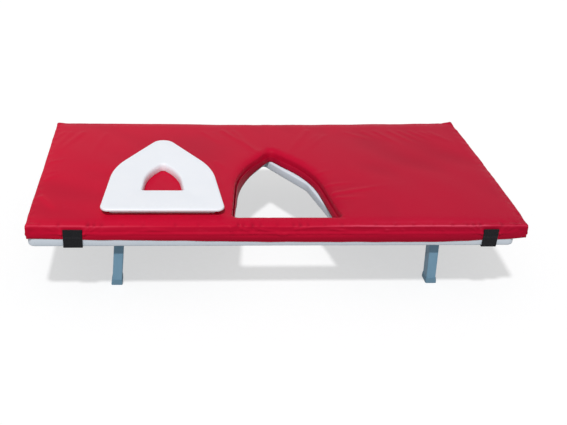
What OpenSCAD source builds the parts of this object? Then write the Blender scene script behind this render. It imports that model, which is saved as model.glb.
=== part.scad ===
// Low table top for ultrasound scanning from below: a plastic board with a shield-shaped opening, a
// padded mat with its own opening over it, a loose insert plate that narrows it, and two folding leg
// frames. The origin is on the floor under the middle of the mat. +X is right, +Y is back, +Z is up.

/* [Board] */
// Length of the board
board_l = 1219; // [1000:1:1500]
// Depth of the board, front to back
board_w = 610; // [520:1:760]
// Thickness of the board
board_t = 25; // [20:0.5:38]
// Radius of the board's corners
board_r = 18; // [10:1:40]
// Height of the board's underside above the floor
under_h = 157; // [145:1:240]

/* [Board opening] */
// Width of the board's opening along its front edge
open_w = 320; // [290:1:340]
// Depth of the board's opening, front edge to apex
open_d = 378; // [360:1:400]
// Distance from the board's front edge to both openings
open_in = 47; // [44:1:70]
// Offset of the board's opening to the right of the board's middle
open_x = 17; // [-60:1:60]
// Lean of the board's opening's sides, in degrees
open_lean = 14; // [6:0.1:16]
// Angle at the board's opening's apex, in degrees
open_angle = 69; // [66:0.1:76]
// Radius of the board's opening's shoulders
open_shoulder_r = 80; // [40:1:120]

/* [Mat opening] */
// Width of the mat's opening along its front edge
well_w = 268; // [250:1:290]
// Depth of the mat's opening, front edge to apex
well_d = 364; // [350:1:380]
// Offset of the mat's opening to the right of the mat's middle
well_x = 20; // [-60:1:60]
// Lean of the mat's opening's sides, in degrees
well_lean = 7; // [4:0.1:9]
// Angle at the mat's opening's apex, in degrees
well_angle = 82.4; // [79:0.1:86]
// Radius of the long arcs that lead from the sides to the apex
well_shoulder_r = 285; // [200:1:300]

/* [Mat] */
// Height of the mat at its edges
mat_h = 34; // [25:0.5:60]
// Rise of the mat's top from edge to middle
mat_crown = 2; // [0.5:0.1:6]
// Length of mat past the board's right end
mat_over = 26; // [0:1:40]
// Radius of the mat's corners, seen from above
mat_r = 10; // [8:1:30]
// How far the mat's sides draw in between the corners
mat_draw = 3.5; // [0:0.1:5]
// Thickness of the vinyl cover
cover_t = 1.2; // [0.8:0.1:2]
// How much wider the mat's opening is at its top, on each side
set_back = 4; // [3:0.5:8]

/* [Insert plate] */
// Angle at the plate's apex, in degrees
plate_angle = 68; // [64:0.1:72]
// Lean of the plate's sides, in degrees
plate_lean = 5.6; // [3:0.1:8]
// Radius of the plate's shoulders
plate_shoulder_r = 197; // [120:1:240]
// How far the plate laps past the mat's opening all round
lap_w = 20; // [16:0.5:35]
// Thickness of the plate's thin rim
rim_t = 7; // [4:0.5:12]
// Height of the thick step under the rim
step_t = 15; // [8:0.5:18]
// Width of the small opening along its front edge
small_w = 104; // [70:1:130]
// Depth of the small opening, front edge to apex
small_d = 146; // [130:1:180]
// Angle at the small opening's apex, in degrees
small_angle = 82; // [78:0.1:86]
// Distance from the plate's own front line back to the small opening
small_in = 80; // [50:1:90]
// Distance from the mat's left end to the plate's middle, where it lies
plate_in = 328.5; // [280:0.5:340]
// How far the plate lies further back than the openings
plate_back = 11; // [0:1:40]

/* [Legs] */
// Distance from the board's left end to the left legs
leg_in_left = 219; // [180:1:330]
// Distance from the board's right end to the right legs
leg_in_right = 182; // [160:1:330]
// Distance from the board's front or back edge to the legs' faces
leg_in_y = 59; // [50:1:90]
// Width of a leg tube, along X
leg_a = 25; // [20:1:30]
// Depth of a leg tube, along Y
leg_b = 32; // [24:1:40]
// Wall of the leg tubes
leg_wall = 1.6; // [1:0.1:2.5]
// Outward lean of the legs, in degrees
leg_splay = 3.5; // [1:0.1:5]
// Depth of the fold axis under the board
pivot_drop = 20; // [18:0.5:28]
// Side of the square crossbar tube
bar_a = 18; // [15:1:20]
// Distance from the fold axis to the crossbar
bar_drop = 26; // [26:0.5:36]

/* [Feet] */
// Height of a foot cap
foot_h = 10; // [10:0.5:25]
// Thickness of a foot's sole
sole_t = 4; // [3:0.5:6]
// How far the sole stands out past the tube
foot_flare = 2; // [2:0.5:6]

/* [Brackets] */
// Thickness of the bracket plates
plate_t = 2.5; // [2:0.1:4]
// Length of a bracket plate, along X
bracket_l = 44; // [40:1:60]
// Width of a bracket's screw flange on each side
flange_w = 22; // [18:1:30]
// Radius of the pivot bolts
bolt_r = 4; // [3:0.5:5]
// Radius of the bracket screws
screw_r = 3; // [2.5:0.5:3.5]
// Depth that the bracket screws reach into the board
screw_depth = 14; // [10:0.5:16]

/* [Catches] */
// Width of a spring catch
catch_w = 40; // [25:1:60]
// Thickness of the spring strip
catch_t = 1.2; // [0.8:0.1:1.6]
// Reach of a catch, from the fold axis to its inner end
catch_reach = 100; // [95:1:130]

/* [Straps] */
// Width of the left straps
strap_w_left = 47; // [30:1:60]
// Width of the right straps
strap_w_right = 38; // [25:1:50]
// Distance from the board's left end to the left straps' middle
strap_in_left = 111; // [90:1:180]
// Distance from the board's right end to the right straps' middle
strap_in_right = 68; // [62:1:160]
// Thickness of the strap webbing
strap_t = 2; // [1.5:0.1:3]
// Height that a strap reaches up the mat's side
strap_up = 24; // [15:0.5:25]
// Length of strap under the board
strap_under = 62; // [45:1:90]

/* [Zip] */
// Distance from the left rear strap to the zip
zip_in_left = 48; // [40:0.5:200]
// Distance from the right rear strap to the zip
zip_in_right = 69.5; // [40:0.5:200]
// Height of the zip's tape
zip_h = 22; // [16:0.5:24]

/* [Hidden] */

// Smoothness of round walls
$fn = 48;
// Cuts run past their faces by this much
overrun = 1;
// Gap between soft pieces and what they lie on
soft_gap = 0.3;
// Gap between a moving metal piece and its stop
stop_gap = 0.3;
// Radial clearance of screws in their holes
screw_clear = 0.05;
// Radial clearance of the pivot bolts in their bushes
bush_clear = 0.05;
// Radial clearance of the pivot bolts in the brackets
bolt_clear = 0.25;

// Levels, from the floor up
board_z = under_h;
top_z = board_z + board_t;
mat_z = top_z + soft_gap;
mat_top = mat_z + mat_h;
plate_z = mat_top + mat_crown + soft_gap;
pivot_z = board_z - pivot_drop;

// Places along X: the mat is centred, and the board's left end is under the mat's left end
mat_l = board_l + mat_over;
board_mid = -mat_over / 2;
board_left = board_mid - board_l / 2;
board_right = board_mid + board_l / 2;
board_front = -board_w / 2;
open_mid = board_mid + open_x;
open_front = board_front + open_in;
plate_mid = plate_in - mat_l / 2;
leg_y = board_w / 2 - leg_in_y - leg_b / 2;
leg_left_x = board_left + leg_in_left;
leg_right_x = board_right - leg_in_right;
strap_left_x = board_left + strap_in_left;
strap_right_x = board_right - strap_in_right;
zip_start = strap_left_x + strap_w_left / 2 + zip_in_left;
zip_end = strap_right_x - strap_w_right / 2 - zip_in_right;

// Corner radii of the cut-outs and plates, and points in each rounded corner
open_corner_r = 10;
open_apex_r = 6;
well_corner_r = 9;
well_apex_r = 8;
rim_corner_r = 20;
rim_apex_r = 36;
step_corner_r = 13;
step_apex_r = 22;
small_corner_r = 4;
small_apex_r = 9;
small_shoulder_r = 150;
// Clearance of the plate's step inside the mat's well and above its slope
step_clear = 1.5;
// How much further back the plate's flanks would meet than the mat's opening's
tip_run = 2.5;
corner_n = 8;

// Vinyl base panel of the mat
base_t = 1.2;
// Rings of the mat's outline, from the bottom up: inset from the side, and height as a share of mat_h
side_insets = [2.2, 0.5, 0, 0, 1, 3.4, 8];
side_shares = [0.04, 0.12, 0.2, 0.76, 0.89, 0.97, 1];
// Rings above this share of the height lie lower on a drawn-in form
upper_share = 0.5;
// Rings of the mat's crowned top: inset from the side, and share of the crown
crown_insets = [16, 32];
crown_shares = [0.6, 1];
long_n = 10;
short_n = 4;
mat_corner_n = 3;

// Leg tubes, pivot bushes and brackets
tube_r = 3;
bar_r = 2;
bush_wall = 2.5;
bush_out = 0.9;
cheek_gap = bush_out + stop_gap;
cheek_y = leg_b / 2 + cheek_gap;
cheek_l = 26;
bracket_w = 2 * (cheek_y + plate_t + flange_w);
hole_x = 13;
hole_y = cheek_y + plate_t + flange_w / 2;
stop_low = 13;
stop_x = leg_a / 2 / cos(leg_splay) + stop_low * tan(leg_splay) + stop_gap;

// Fasteners
head_r = 5.5;
head_h = 3.3;
hex_r = 7.2;
bolt_head_h = 5.3;
nut_h = 6.5;
bolt_tail = 2.5;
insert_wall = 1.5;
insert_clear = 1;
insert_depth = screw_depth + insert_clear;
drive_r = 2;
drive_h = 1.8;
small_screw_r = 2;
small_head_r = 3.6;
small_head_h = 2.2;
small_screw_depth = 12;

// Spring catches
catch_pad = 28;
catch_end = 5;
lip_h = 12;
catch_drop = pivot_drop + bar_drop * cos(leg_splay) - bar_a / 2 - catch_t;
bar_off = bar_drop * sin(leg_splay);
lip_x = bar_a / 2 * (cos(leg_splay) + sin(leg_splay)) - bar_off + stop_gap;

// Strap parts: patch on the mat, flap over it, fold at the board's lower edge, and the bar under the board
patch_t = 1;
patch_short = 2;
patch_up = strap_up - patch_short;
patch_low = 3;
fold_gap = 0.3;
strap_face = board_w / 2 + soft_gap + patch_t + soft_gap;
fold_y = strap_face + strap_t / 2;
fold_z = board_z - soft_gap - strap_t / 2;
bar_w = 14;
bar_y = strap_under - bar_w;
bar_h = 2;
bar_screw_share = 0.28;

// Zip
zip_t = 0.6;
zip_height_share = 0.46;
zip_z = mat_z + mat_h * zip_height_share;
coil_h = 5;
coil_t = 1;
slider_l = 12;
slider_h = 9;
slider_t = 2;
tab_l = 26;
tab_h = 7;
tab_t = 1;
tab_hole_r = 1.6;

// Points of the corner at v, between a and b, rounded with radius r
function unit(v) = v / norm(v);
function rounded(a, v, b, r, n) =
    let (ua = unit(a - v), ub = unit(b - v),
        half = acos(ua * ub) / 2,
        c = v + unit(ua + ub) * r / sin(half),
        s = v + ua * r / tan(half) - c,
        e = v + ub * r / tan(half) - c,
        a0 = atan2(s[1], s[0]),
        turn = atan2(e[1], e[0]) - a0,
        arc = turn > 180 ? turn - 360 : turn < -180 ? turn + 360 : turn)
    [for (k = [0:n]) c + r * [cos(a0 + arc * k / n), sin(a0 + arc * k / n)]];

// Outline of a shield, grown by g all round: front width w, depth d, apex angle, lean of its sides, and
// radii. Its own origin is the middle of the front edge before it is grown.
function shield(w, d, angle, lean, g, front_r, shoulder, apex_r) =
    let (half = angle / 2,
        c1 = w / 2 * cos(lean) + g,
        c2 = d * sin(half) + g,
        det = sin(half - lean),
        p1 = [(c1 + g * sin(lean)) / cos(lean), -g],
        p2 = [(c1 * sin(half) - c2 * sin(lean)) / det,
            (c2 * cos(lean) - c1 * cos(half)) / det],
        p3 = [0, c2 / sin(half)],
        p4 = [-p2[0], p2[1]],
        p5 = [-p1[0], p1[1]])
    concat(rounded(p5, p1, p2, front_r, corner_n),
        rounded(p1, p2, p3, shoulder + g, corner_n),
        rounded(p2, p3, p4, apex_r, corner_n),
        rounded(p3, p4, p5, shoulder + g, corner_n),
        rounded(p4, p5, p1, front_r, corner_n));

function board_opening() =
    shield(open_w, open_d, open_angle, open_lean, 0, open_corner_r, open_shoulder_r, open_apex_r);

function mat_opening(g) =
    shield(well_w, well_d, well_angle, well_lean, g, well_corner_r + g, well_shoulder_r, well_apex_r + g);

// Outline of the insert plate, grown by g from the mat's opening's front and sides
function plate_outline(g, front_r, apex_r) =
    shield(well_w, well_d + tip_run, plate_angle, plate_lean, g, front_r, plate_shoulder_r, apex_r);

// Distance from the mat's middle line to its back side at a place x along it
function side_y(x) = board_w / 2 - mat_draw * cos(180 * x / (mat_l - 2 * mat_r));

// One side of the mat's outline as points, with its draw-in, in its own x and y
function side_points(l, n, half, draw) =
    [for (k = [1:n - 1]) let (s = k / n) [half - draw * sin(180 * s), -l / 2 + l * s]];

// Outline of the mat at an inset from its sides
function mat_outline(inset) =
    let (hx = mat_l / 2 - inset, hy = board_w / 2 - inset, r = max(mat_r - inset, mat_r / 4),
        long = 2 * (hx - r), short = 2 * (hy - r), q = 90 / mat_corner_n,
        corner = [for (k = [0:mat_corner_n]) r * [cos(q * k), sin(q * k)]])
    concat(
        side_points(short, short_n, hx, mat_draw),
        [for (p = corner) [hx - r + p[0], hy - r + p[1]]],
        [for (p = side_points(long, long_n, hy, mat_draw)) [-p[1], p[0]]],
        [for (p = corner) [-hx + r - p[1], hy - r + p[0]]],
        [for (p = side_points(short, short_n, hx, mat_draw)) [-p[0], -p[1]]],
        [for (p = corner) [-hx + r - p[0], -hy + r - p[1]]],
        [for (p = side_points(long, long_n, hy, mat_draw)) [p[1], -p[0]]],
        [for (p = corner) [hx - r + p[1], -hy + r - p[0]]]);

function at_height(points, z) = [for (p = points) [p[0], p[1], z]];

// Closed solid through a stack of outlines that all have the same number of points
module loft(rings) {
    m = len(rings[0]);
    n = len(rings);
    points = [for (ring = rings) each ring];
    sides = [for (k = [0:n - 2]) for (i = [0:m - 1]) let (j = (i + 1) % m)
        each [[k * m + i, (k + 1) * m + i, k * m + j], [k * m + j, (k + 1) * m + i, (k + 1) * m + j]]];
    bottom = [for (i = [0:m - 1]) i];
    top = [for (i = [m - 1:-1:0]) (n - 1) * m + i];
    polyhedron(points, concat([bottom], sides, [top]), convexity = 6);
}

// The mat's whole form, drawn in all round by t, and reaching down to low
module mat_form(t, low) {
    lower = at_height(mat_outline(side_insets[0] + t), low);
    sides = [for (k = [0:len(side_insets) - 1]) let (drop = side_shares[k] > upper_share ? t : 0)
        at_height(mat_outline(side_insets[k] + t), mat_z + side_shares[k] * mat_h - drop)];
    crown = [for (k = [0:len(crown_insets) - 1])
        at_height(mat_outline(crown_insets[k] + t), mat_top + crown_shares[k] * mat_crown - t)];
    loft(concat([lower], sides, crown));
}

// The well round the mat's opening, grown by g: upright where the plate's step drops in, sloping a
// little below
module well(g) {
    seat_z = mat_top + mat_crown - step_t - step_clear;
    translate([well_x, open_front, 0]) loft([
        at_height(mat_opening(g), mat_z - overrun),
        at_height(mat_opening(g), mat_z),
        at_height(mat_opening(g + set_back), seat_z),
        at_height(mat_opening(g + set_back), mat_top + mat_crown + overrun)]);
}

module rounded_rect(l, w, r) {
    square([l - 2 * r, w], center = true);
    square([l, w - 2 * r], center = true);
    for (x = [-1, 1], y = [-1, 1])
        translate([x * (l / 2 - r), y * (w / 2 - r)]) circle(r);
}

// Places its children at the four legs: x and y are the leg's middle, and a mirror makes inward +X
module at_leg(side, end) {
    translate([side < 0 ? leg_left_x : leg_right_x, end * leg_y, 0])
        mirror([side < 0 ? 0 : 1, 0, 0])
            children();
}

// Places its children at one strap: x is along the board, and a mirror makes outward -Y
module at_strap(side, end) {
    translate([side < 0 ? strap_left_x : strap_right_x, 0, 0])
        mirror([0, end < 0 ? 0 : 1, 0])
            children();
}

function strap_w(side) = side < 0 ? strap_w_left : strap_w_right;

// Holes or shanks at a bracket's four screws, in the leg's own place
module bracket_holes(r, z, h) {
    for (x = [-hole_x, hole_x], y = [-hole_y, hole_y])
        translate([x, y, z]) cylinder(r = r, h = h);
}

// Holes or shanks at a strap bar's two screws, in the strap's own place
module bar_holes(side, r, z, h) {
    for (x = [-1, 1])
        translate([x * bar_screw_share * strap_w(side), -board_w / 2 + bar_y + bar_w / 2, z])
            cylinder(r = r, h = h);
}

// Holes or shanks at a catch's two screws, in the catch's own place
module catch_holes(r, z, h) {
    for (y = [-1, 1])
        translate([catch_reach - catch_pad / 2, y * catch_w / 4, z]) cylinder(r = r, h = h);
}

module top_board() {
    color("aliceblue") difference() {
        translate([board_mid, 0, board_z])
            linear_extrude(board_t) rounded_rect(board_l, board_w, board_r);
        translate([open_mid, open_front, board_z - overrun])
            linear_extrude(board_t + 2 * overrun) polygon(board_opening());
        for (side = [-1, 1], end = [-1, 1])
            at_leg(side, end) bracket_holes(screw_r + insert_wall, board_z - overrun, insert_depth + overrun);
        for (side = [-1, 1], end = [-1, 1])
            at_strap(side, end)
                bar_holes(side, small_screw_r + screw_clear, board_z - overrun,
                    small_screw_depth + 2 * overrun);
        for (side = [-1, 1])
            at_leg(side, 0)
                catch_holes(small_screw_r + screw_clear, board_z - overrun, small_screw_depth + 2 * overrun);
    }
}

// Brass inserts pressed into the board from below
module bracket_inserts() {
    color("goldenrod") for (side = [-1, 1], end = [-1, 1])
        at_leg(side, end) difference() {
            bracket_holes(screw_r + insert_wall, board_z, insert_depth);
            bracket_holes(screw_r + screw_clear, board_z - overrun, insert_depth + 2 * overrun);
        }
}

// Folded steel bracket: a plate under the board, two cheeks round the leg, and a stop wall outboard
module hinge_bracket(side, end) {
    top = board_z - plate_t;
    color("steelblue") at_leg(side, end) difference() {
        union() {
            translate([0, 0, top]) linear_extrude(plate_t) rounded_rect(bracket_l, bracket_w, plate_t);
            for (y = [-cheek_y - plate_t, cheek_y]) {
                translate([-stop_x, y, pivot_z])
                    cube([stop_x + cheek_l / 2, plate_t, top - pivot_z]);
                translate([0, y, pivot_z]) rotate([-90, 0, 0]) cylinder(r = cheek_l / 2, h = plate_t);
            }
            translate([-stop_x - plate_t, -cheek_y - plate_t, pivot_z - stop_low])
                cube([plate_t, 2 * (cheek_y + plate_t), top - pivot_z + stop_low]);
        }
        bracket_holes(screw_r + screw_clear, top - overrun, plate_t + 2 * overrun);
        translate([0, -cheek_y - plate_t - overrun, pivot_z])
            rotate([-90, 0, 0]) cylinder(r = bolt_r + bolt_clear, h = 2 * (cheek_y + plate_t + overrun));
    }
}

// Button-head screws with hex sockets
module bracket_screws() {
    low = board_z - plate_t - head_h;
    color("silver") for (side = [-1, 1], end = [-1, 1])
        at_leg(side, end) difference() {
            union() {
                bracket_holes(screw_r, board_z - plate_t, plate_t + screw_depth);
                bracket_holes(head_r, low, head_h);
            }
            bracket_holes(drive_r, low - overrun, drive_h + overrun);
        }
}

// Hex bolts through cheeks, bush and leg, heads towards the front and back edges
module pivot_bolts() {
    head_y = cheek_y + plate_t;
    tail_y = head_y + nut_h + bolt_tail;
    color("silver") for (side = [-1, 1], end = [-1, 1])
        at_leg(side, end) translate([0, 0, pivot_z]) rotate([end * 90, 0, 0]) {
            translate([0, 0, -head_y]) cylinder(r = bolt_r, h = head_y + tail_y);
            translate([0, 0, -head_y - bolt_head_h]) cylinder(r = hex_r, h = bolt_head_h, $fn = 6);
        }
}

module pivot_nuts() {
    color("silver") for (side = [-1, 1], end = [-1, 1])
        at_leg(side, end) translate([0, 0, pivot_z]) rotate([end * 90, 0, 0])
            translate([0, 0, cheek_y + plate_t]) difference() {
                cylinder(r = hex_r, h = nut_h, $fn = 6);
                translate([0, 0, -overrun]) cylinder(r = bolt_r + screw_clear, h = nut_h + 2 * overrun);
            }
}

// Spring strip from the board down to a lip behind the crossbar
module spring_catch(side) {
    t = catch_t;
    knee = catch_reach - catch_pad;
    color("lightgray") at_leg(side, 0) difference() {
        translate([0, catch_w / 2, board_z]) rotate([90, 0, 0]) linear_extrude(catch_w) polygon([
            [catch_reach, 0], [knee, 0], [lip_x + catch_end, -catch_drop], [lip_x, -catch_drop],
            [lip_x, -catch_drop - lip_h], [lip_x + t, -catch_drop - lip_h], [lip_x + t, -catch_drop - t],
            [lip_x + catch_end + t, -catch_drop - t], [knee + t / 2, -t], [catch_reach, -t]]);
        catch_holes(small_screw_r + screw_clear, board_z - t - overrun, t + 2 * overrun);
    }
}

module catch_screws() {
    color("silver") for (side = [-1, 1])
        at_leg(side, 0) difference() {
            union() {
                catch_holes(small_screw_r, board_z - catch_t, catch_t + small_screw_depth);
                catch_holes(small_head_r, board_z - catch_t - small_head_h, small_head_h);
            }
            catch_holes(drive_r, board_z - catch_t - small_head_h - overrun, drive_h / 2 + overrun);
        }
}

// The part of a strap that lies under the board, clamped by its bar
module strap_anchor(side, end) {
    w = strap_w(side);
    start = -fold_y + strap_t / 2 + fold_gap;
    color("black") at_strap(side, end) difference() {
        translate([-w / 2, start, fold_z - strap_t / 2])
            cube([w, strap_under - board_w / 2 - start, strap_t]);
        bar_holes(side, small_screw_r + screw_clear, fold_z - strap_t, 2 * strap_t);
    }
}

module strap_bars() {
    color("dimgray") for (side = [-1, 1], end = [-1, 1])
        at_strap(side, end) difference() {
            translate([0, -board_w / 2 + bar_y + bar_w / 2, fold_z - strap_t / 2 - bar_h])
                linear_extrude(bar_h) rounded_rect(strap_w(side), bar_w, bar_h);
            bar_holes(side, small_screw_r + screw_clear, fold_z - strap_t / 2 - bar_h - overrun,
                bar_h + 2 * overrun);
        }
}

module strap_screws() {
    under = fold_z - strap_t / 2 - bar_h;
    color("silver") for (side = [-1, 1], end = [-1, 1])
        at_strap(side, end) difference() {
            union() {
                bar_holes(side, small_screw_r, under, board_z - under + small_screw_depth);
                bar_holes(side, small_head_r, under - small_head_h, small_head_h);
            }
            bar_holes(side, drive_r, under - small_head_h - overrun, drive_h / 2 + overrun);
        }
}

module mat_foam() {
    color("khaki") difference() {
        mat_form(cover_t, mat_z + base_t);
        well(cover_t);
    }
}

module mat_cover() {
    color("crimson") difference() {
        mat_form(0, mat_z + base_t);
        difference() {
            mat_form(cover_t, mat_z - overrun);
            well(cover_t);
        }
        well(0);
    }
}

module mat_base() {
    color("maroon") difference() {
        translate([0, 0, mat_z]) linear_extrude(base_t) polygon(mat_outline(side_insets[0]));
        translate([well_x, open_front, mat_z - overrun])
            linear_extrude(base_t + 2 * overrun) polygon(mat_opening(0));
    }
}

// A band round the mat's side from gap to gap + t, at height z and h tall
module side_band(gap, t, z, h) {
    translate([0, 0, z]) linear_extrude(h) difference() {
        polygon(mat_outline(-gap - t));
        polygon(mat_outline(-gap));
    }
}

// Loop patch sewn to the mat's side
module strap_patch(side, end) {
    w = strap_w(side);
    color("black") intersection() {
        side_band(soft_gap, patch_t, mat_z + patch_low, patch_up - patch_low);
        at_strap(side, end)
            translate([-w / 2, -board_w, mat_z]) cube([w, board_w, mat_h]);
    }
}

module mat_zip() {
    color("darkred") intersection() {
        union() {
            side_band(soft_gap, zip_t, zip_z - zip_h / 2, zip_h);
            side_band(soft_gap, zip_t + coil_t, zip_z - coil_h / 2, coil_h);
        }
        translate([zip_start, 0, mat_z]) cube([zip_end - zip_start, board_w, mat_h]);
    }
}

// Slider at the zip's closed end, with its tab hanging along the tape
module zip_pull() {
    face = side_y(zip_end) + 2 * soft_gap + zip_t + coil_t;
    start = zip_end - slider_l;
    color("silver") difference() {
        union() {
            translate([start, face, zip_z - slider_h / 2]) cube([slider_l, slider_t, slider_h]);
            translate([start - tab_l + slider_l / 2, face + slider_t - tab_t, zip_z - tab_h / 2])
                cube([tab_l, tab_t, tab_h]);
        }
        translate([start - tab_l + slider_l / 2 + 2 * tab_hole_r, face - overrun, zip_z])
            rotate([-90, 0, 0]) cylinder(r = tab_hole_r, h = slider_t + 2 * overrun);
    }
}

// Loose plate: a thin rim that laps over the mat, and a thick step that drops into the mat's well
module insert_plate() {
    color("white") translate([plate_mid, open_front + plate_back, plate_z]) difference() {
        union() {
            translate([0, 0, step_t]) linear_extrude(rim_t)
                polygon(plate_outline(lap_w, rim_corner_r, rim_apex_r));
            linear_extrude(step_t + rim_t / 2)
                polygon(plate_outline(set_back - step_clear, step_corner_r, step_apex_r));
        }
        translate([0, small_in, -overrun]) linear_extrude(step_t + rim_t + 2 * overrun)
            polygon(shield(small_w, small_d, small_angle, plate_lean, 0,
                small_corner_r, small_shoulder_r, small_apex_r));
    }
}

// Everything on a leg frame is drawn upright about the fold axis and leant outward together
module lean(side, end) {
    at_leg(side, end) translate([0, 0, pivot_z]) rotate([0, leg_splay, 0]) children();
}

leg_end = (pivot_z - sole_t) / cos(leg_splay) - leg_a / 2 * tan(leg_splay);

module tube_profile(grow) {
    rounded_rect(leg_a + 2 * grow, leg_b + 2 * grow, tube_r + grow);
}

// Painted steel tube, its top end rounded about the pivot
module leg(side, end) {
    color("cadetblue") lean(side, end) difference() {
        intersection() {
            translate([0, 0, -leg_end]) linear_extrude(leg_end + leg_a / 2) tube_profile(0);
            union() {
                translate([-leg_a / 2, -leg_b / 2, -leg_end]) cube([leg_a, leg_b, leg_end]);
                translate([0, -leg_b / 2, 0]) rotate([-90, 0, 0]) cylinder(r = leg_a / 2, h = leg_b);
            }
        }
        translate([0, 0, -leg_end - overrun])
            linear_extrude(leg_end + leg_a + overrun) tube_profile(-leg_wall);
        translate([0, -leg_b / 2 - overrun, 0])
            rotate([-90, 0, 0]) cylinder(r = bolt_r + bush_wall, h = leg_b + 2 * overrun);
    }
}

// Nylon sleeve through the leg's top, standing a little proud on both sides
module pivot_bush(side, end) {
    l = leg_b + 2 * bush_out;
    color("ivory") lean(side, end) rotate([-90, 0, 0]) translate([0, 0, -l / 2]) difference() {
        cylinder(r = bolt_r + bush_wall, h = l);
        translate([0, 0, -overrun]) cylinder(r = bolt_r + bush_clear, h = l + 2 * overrun);
    }
}

// Square tube welded between the two legs of a frame
module crossbar(side) {
    l = 2 * leg_y - leg_b;
    color("cadetblue") lean(side, 0) translate([0, l / 2, -bar_drop]) rotate([90, 0, 0])
        linear_extrude(l) difference() {
            rounded_rect(bar_a, bar_a, bar_r);
            rounded_rect(bar_a - 2 * leg_wall, bar_a - 2 * leg_wall, bar_r / 2);
        }
}

// Moulded cap: a flat sole, and a flared boot that the tube stands in
module foot(side, end) {
    foot_x = -pivot_z * tan(leg_splay);
    sole_l = leg_a + 2 * foot_flare;
    sole_w = leg_b + 2 * foot_flare;
    boot = 1;
    color("slategray") difference() {
        union() {
            at_leg(side, end) translate([foot_x, 0, 0])
                linear_extrude(sole_t) rounded_rect(sole_l, sole_w, tube_r);
            hull() {
                at_leg(side, end) translate([foot_x, 0, sole_t - boot])
                    linear_extrude(boot) rounded_rect(sole_l, sole_w, tube_r, $fn = 16);
                lean(side, end) translate([0, 0, sole_t - leg_end - boot])
                    translate([0, 0, foot_h - sole_t])
                        linear_extrude(boot)
                            rounded_rect(leg_a + 2 * boot, leg_b + 2 * boot, tube_r, $fn = 16);
            }
        }
        lean(side, end) translate([0, 0, -leg_end])
            linear_extrude(leg_end) square([leg_a, leg_b], center = true);
    }
}

// The part of a strap that folds up over the board's edge and the mat's patch
module strap_flap(side, end) {
    w = strap_w(side);
    up = mat_z + strap_up - fold_z;
    color("black") at_strap(side, end) translate([-w / 2, -fold_y, fold_z]) {
        rotate([0, 90, 0]) cylinder(r = strap_t / 2, h = w);
        translate([0, -strap_t / 2, 0]) cube([w, strap_t, up]);
    }
}

top_board();
bracket_inserts();
hinge_bracket(-1, -1);  // hinge_bracket_left_front
hinge_bracket(-1, 1);  // hinge_bracket_left_rear
hinge_bracket(1, -1);  // hinge_bracket_right_front
hinge_bracket(1, 1);  // hinge_bracket_right_rear
bracket_screws();
pivot_bolts();
pivot_nuts();
spring_catch(-1);  // spring_catch_left
spring_catch(1);  // spring_catch_right
catch_screws();
strap_anchor(-1, -1);  // strap_anchor_left_front
strap_anchor(-1, 1);  // strap_anchor_left_rear
strap_anchor(1, -1);  // strap_anchor_right_front
strap_anchor(1, 1);  // strap_anchor_right_rear
strap_bars();
strap_screws();
mat_foam();
mat_cover();
mat_base();
strap_patch(-1, -1);  // strap_patch_left_front
strap_patch(-1, 1);  // strap_patch_left_rear
strap_patch(1, -1);  // strap_patch_right_front
strap_patch(1, 1);  // strap_patch_right_rear
mat_zip();
zip_pull();
insert_plate();
leg(-1, -1);  // leg_left_front
leg(-1, 1);  // leg_left_rear
leg(1, -1);  // leg_right_front
leg(1, 1);  // leg_right_rear
crossbar(-1);  // crossbar_left
crossbar(1);  // crossbar_right
foot(-1, -1);  // foot_left_front
foot(-1, 1);  // foot_left_rear
foot(1, -1);  // foot_right_front
foot(1, 1);  // foot_right_rear
pivot_bush(-1, -1);  // pivot_bush_left_front
pivot_bush(-1, 1);  // pivot_bush_left_rear
pivot_bush(1, -1);  // pivot_bush_right_front
pivot_bush(1, 1);  // pivot_bush_right_rear
strap_flap(-1, -1);  // strap_flap_left_front
strap_flap(-1, 1);  // strap_flap_left_rear
strap_flap(1, -1);  // strap_flap_right_front
strap_flap(1, 1);  // strap_flap_right_rear
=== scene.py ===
"""A low scanning table: white plastic board with a shield-shaped opening, red vinyl mat, loose insert
plate and two folding steel leg frames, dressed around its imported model."""
import math

import bmesh
import bpy
import numpy as np
from mathutils import Matrix, Vector
from mathutils.bvhtree import BVHTree


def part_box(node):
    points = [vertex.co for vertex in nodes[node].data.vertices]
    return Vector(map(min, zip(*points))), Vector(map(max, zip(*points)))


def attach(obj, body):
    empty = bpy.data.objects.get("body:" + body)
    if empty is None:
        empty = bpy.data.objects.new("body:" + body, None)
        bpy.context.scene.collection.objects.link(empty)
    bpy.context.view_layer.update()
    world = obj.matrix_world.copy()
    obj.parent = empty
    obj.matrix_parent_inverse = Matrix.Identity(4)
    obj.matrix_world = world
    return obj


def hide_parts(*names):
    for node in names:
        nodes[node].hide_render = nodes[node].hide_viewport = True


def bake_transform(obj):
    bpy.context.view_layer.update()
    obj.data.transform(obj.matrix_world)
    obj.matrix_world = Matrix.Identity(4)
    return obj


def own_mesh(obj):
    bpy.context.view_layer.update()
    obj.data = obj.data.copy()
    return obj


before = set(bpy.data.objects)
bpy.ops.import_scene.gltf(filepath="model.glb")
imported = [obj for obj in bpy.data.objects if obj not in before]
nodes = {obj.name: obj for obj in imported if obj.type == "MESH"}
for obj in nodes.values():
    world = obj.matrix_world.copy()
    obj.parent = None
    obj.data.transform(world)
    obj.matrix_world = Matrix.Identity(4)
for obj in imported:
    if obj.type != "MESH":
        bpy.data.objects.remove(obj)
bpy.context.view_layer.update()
MM = 0.001


# Camera
# It stands in front of the table's left half and looks down at it. Its place, turn and focal length
# were fitted to the table's corners in the photograph, in pixels of the photograph's own frame.
PHOTO_W, PHOTO_H = 567, 425
focal_px = 772.7
centre_px = (215.5, 144.5)
camera_at = Vector((-0.2831, -1.9085, 1.2215))
camera_yaw, camera_pitch, camera_roll = (math.radians(a) for a in (3.980, 26.005, -2.049))

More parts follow.
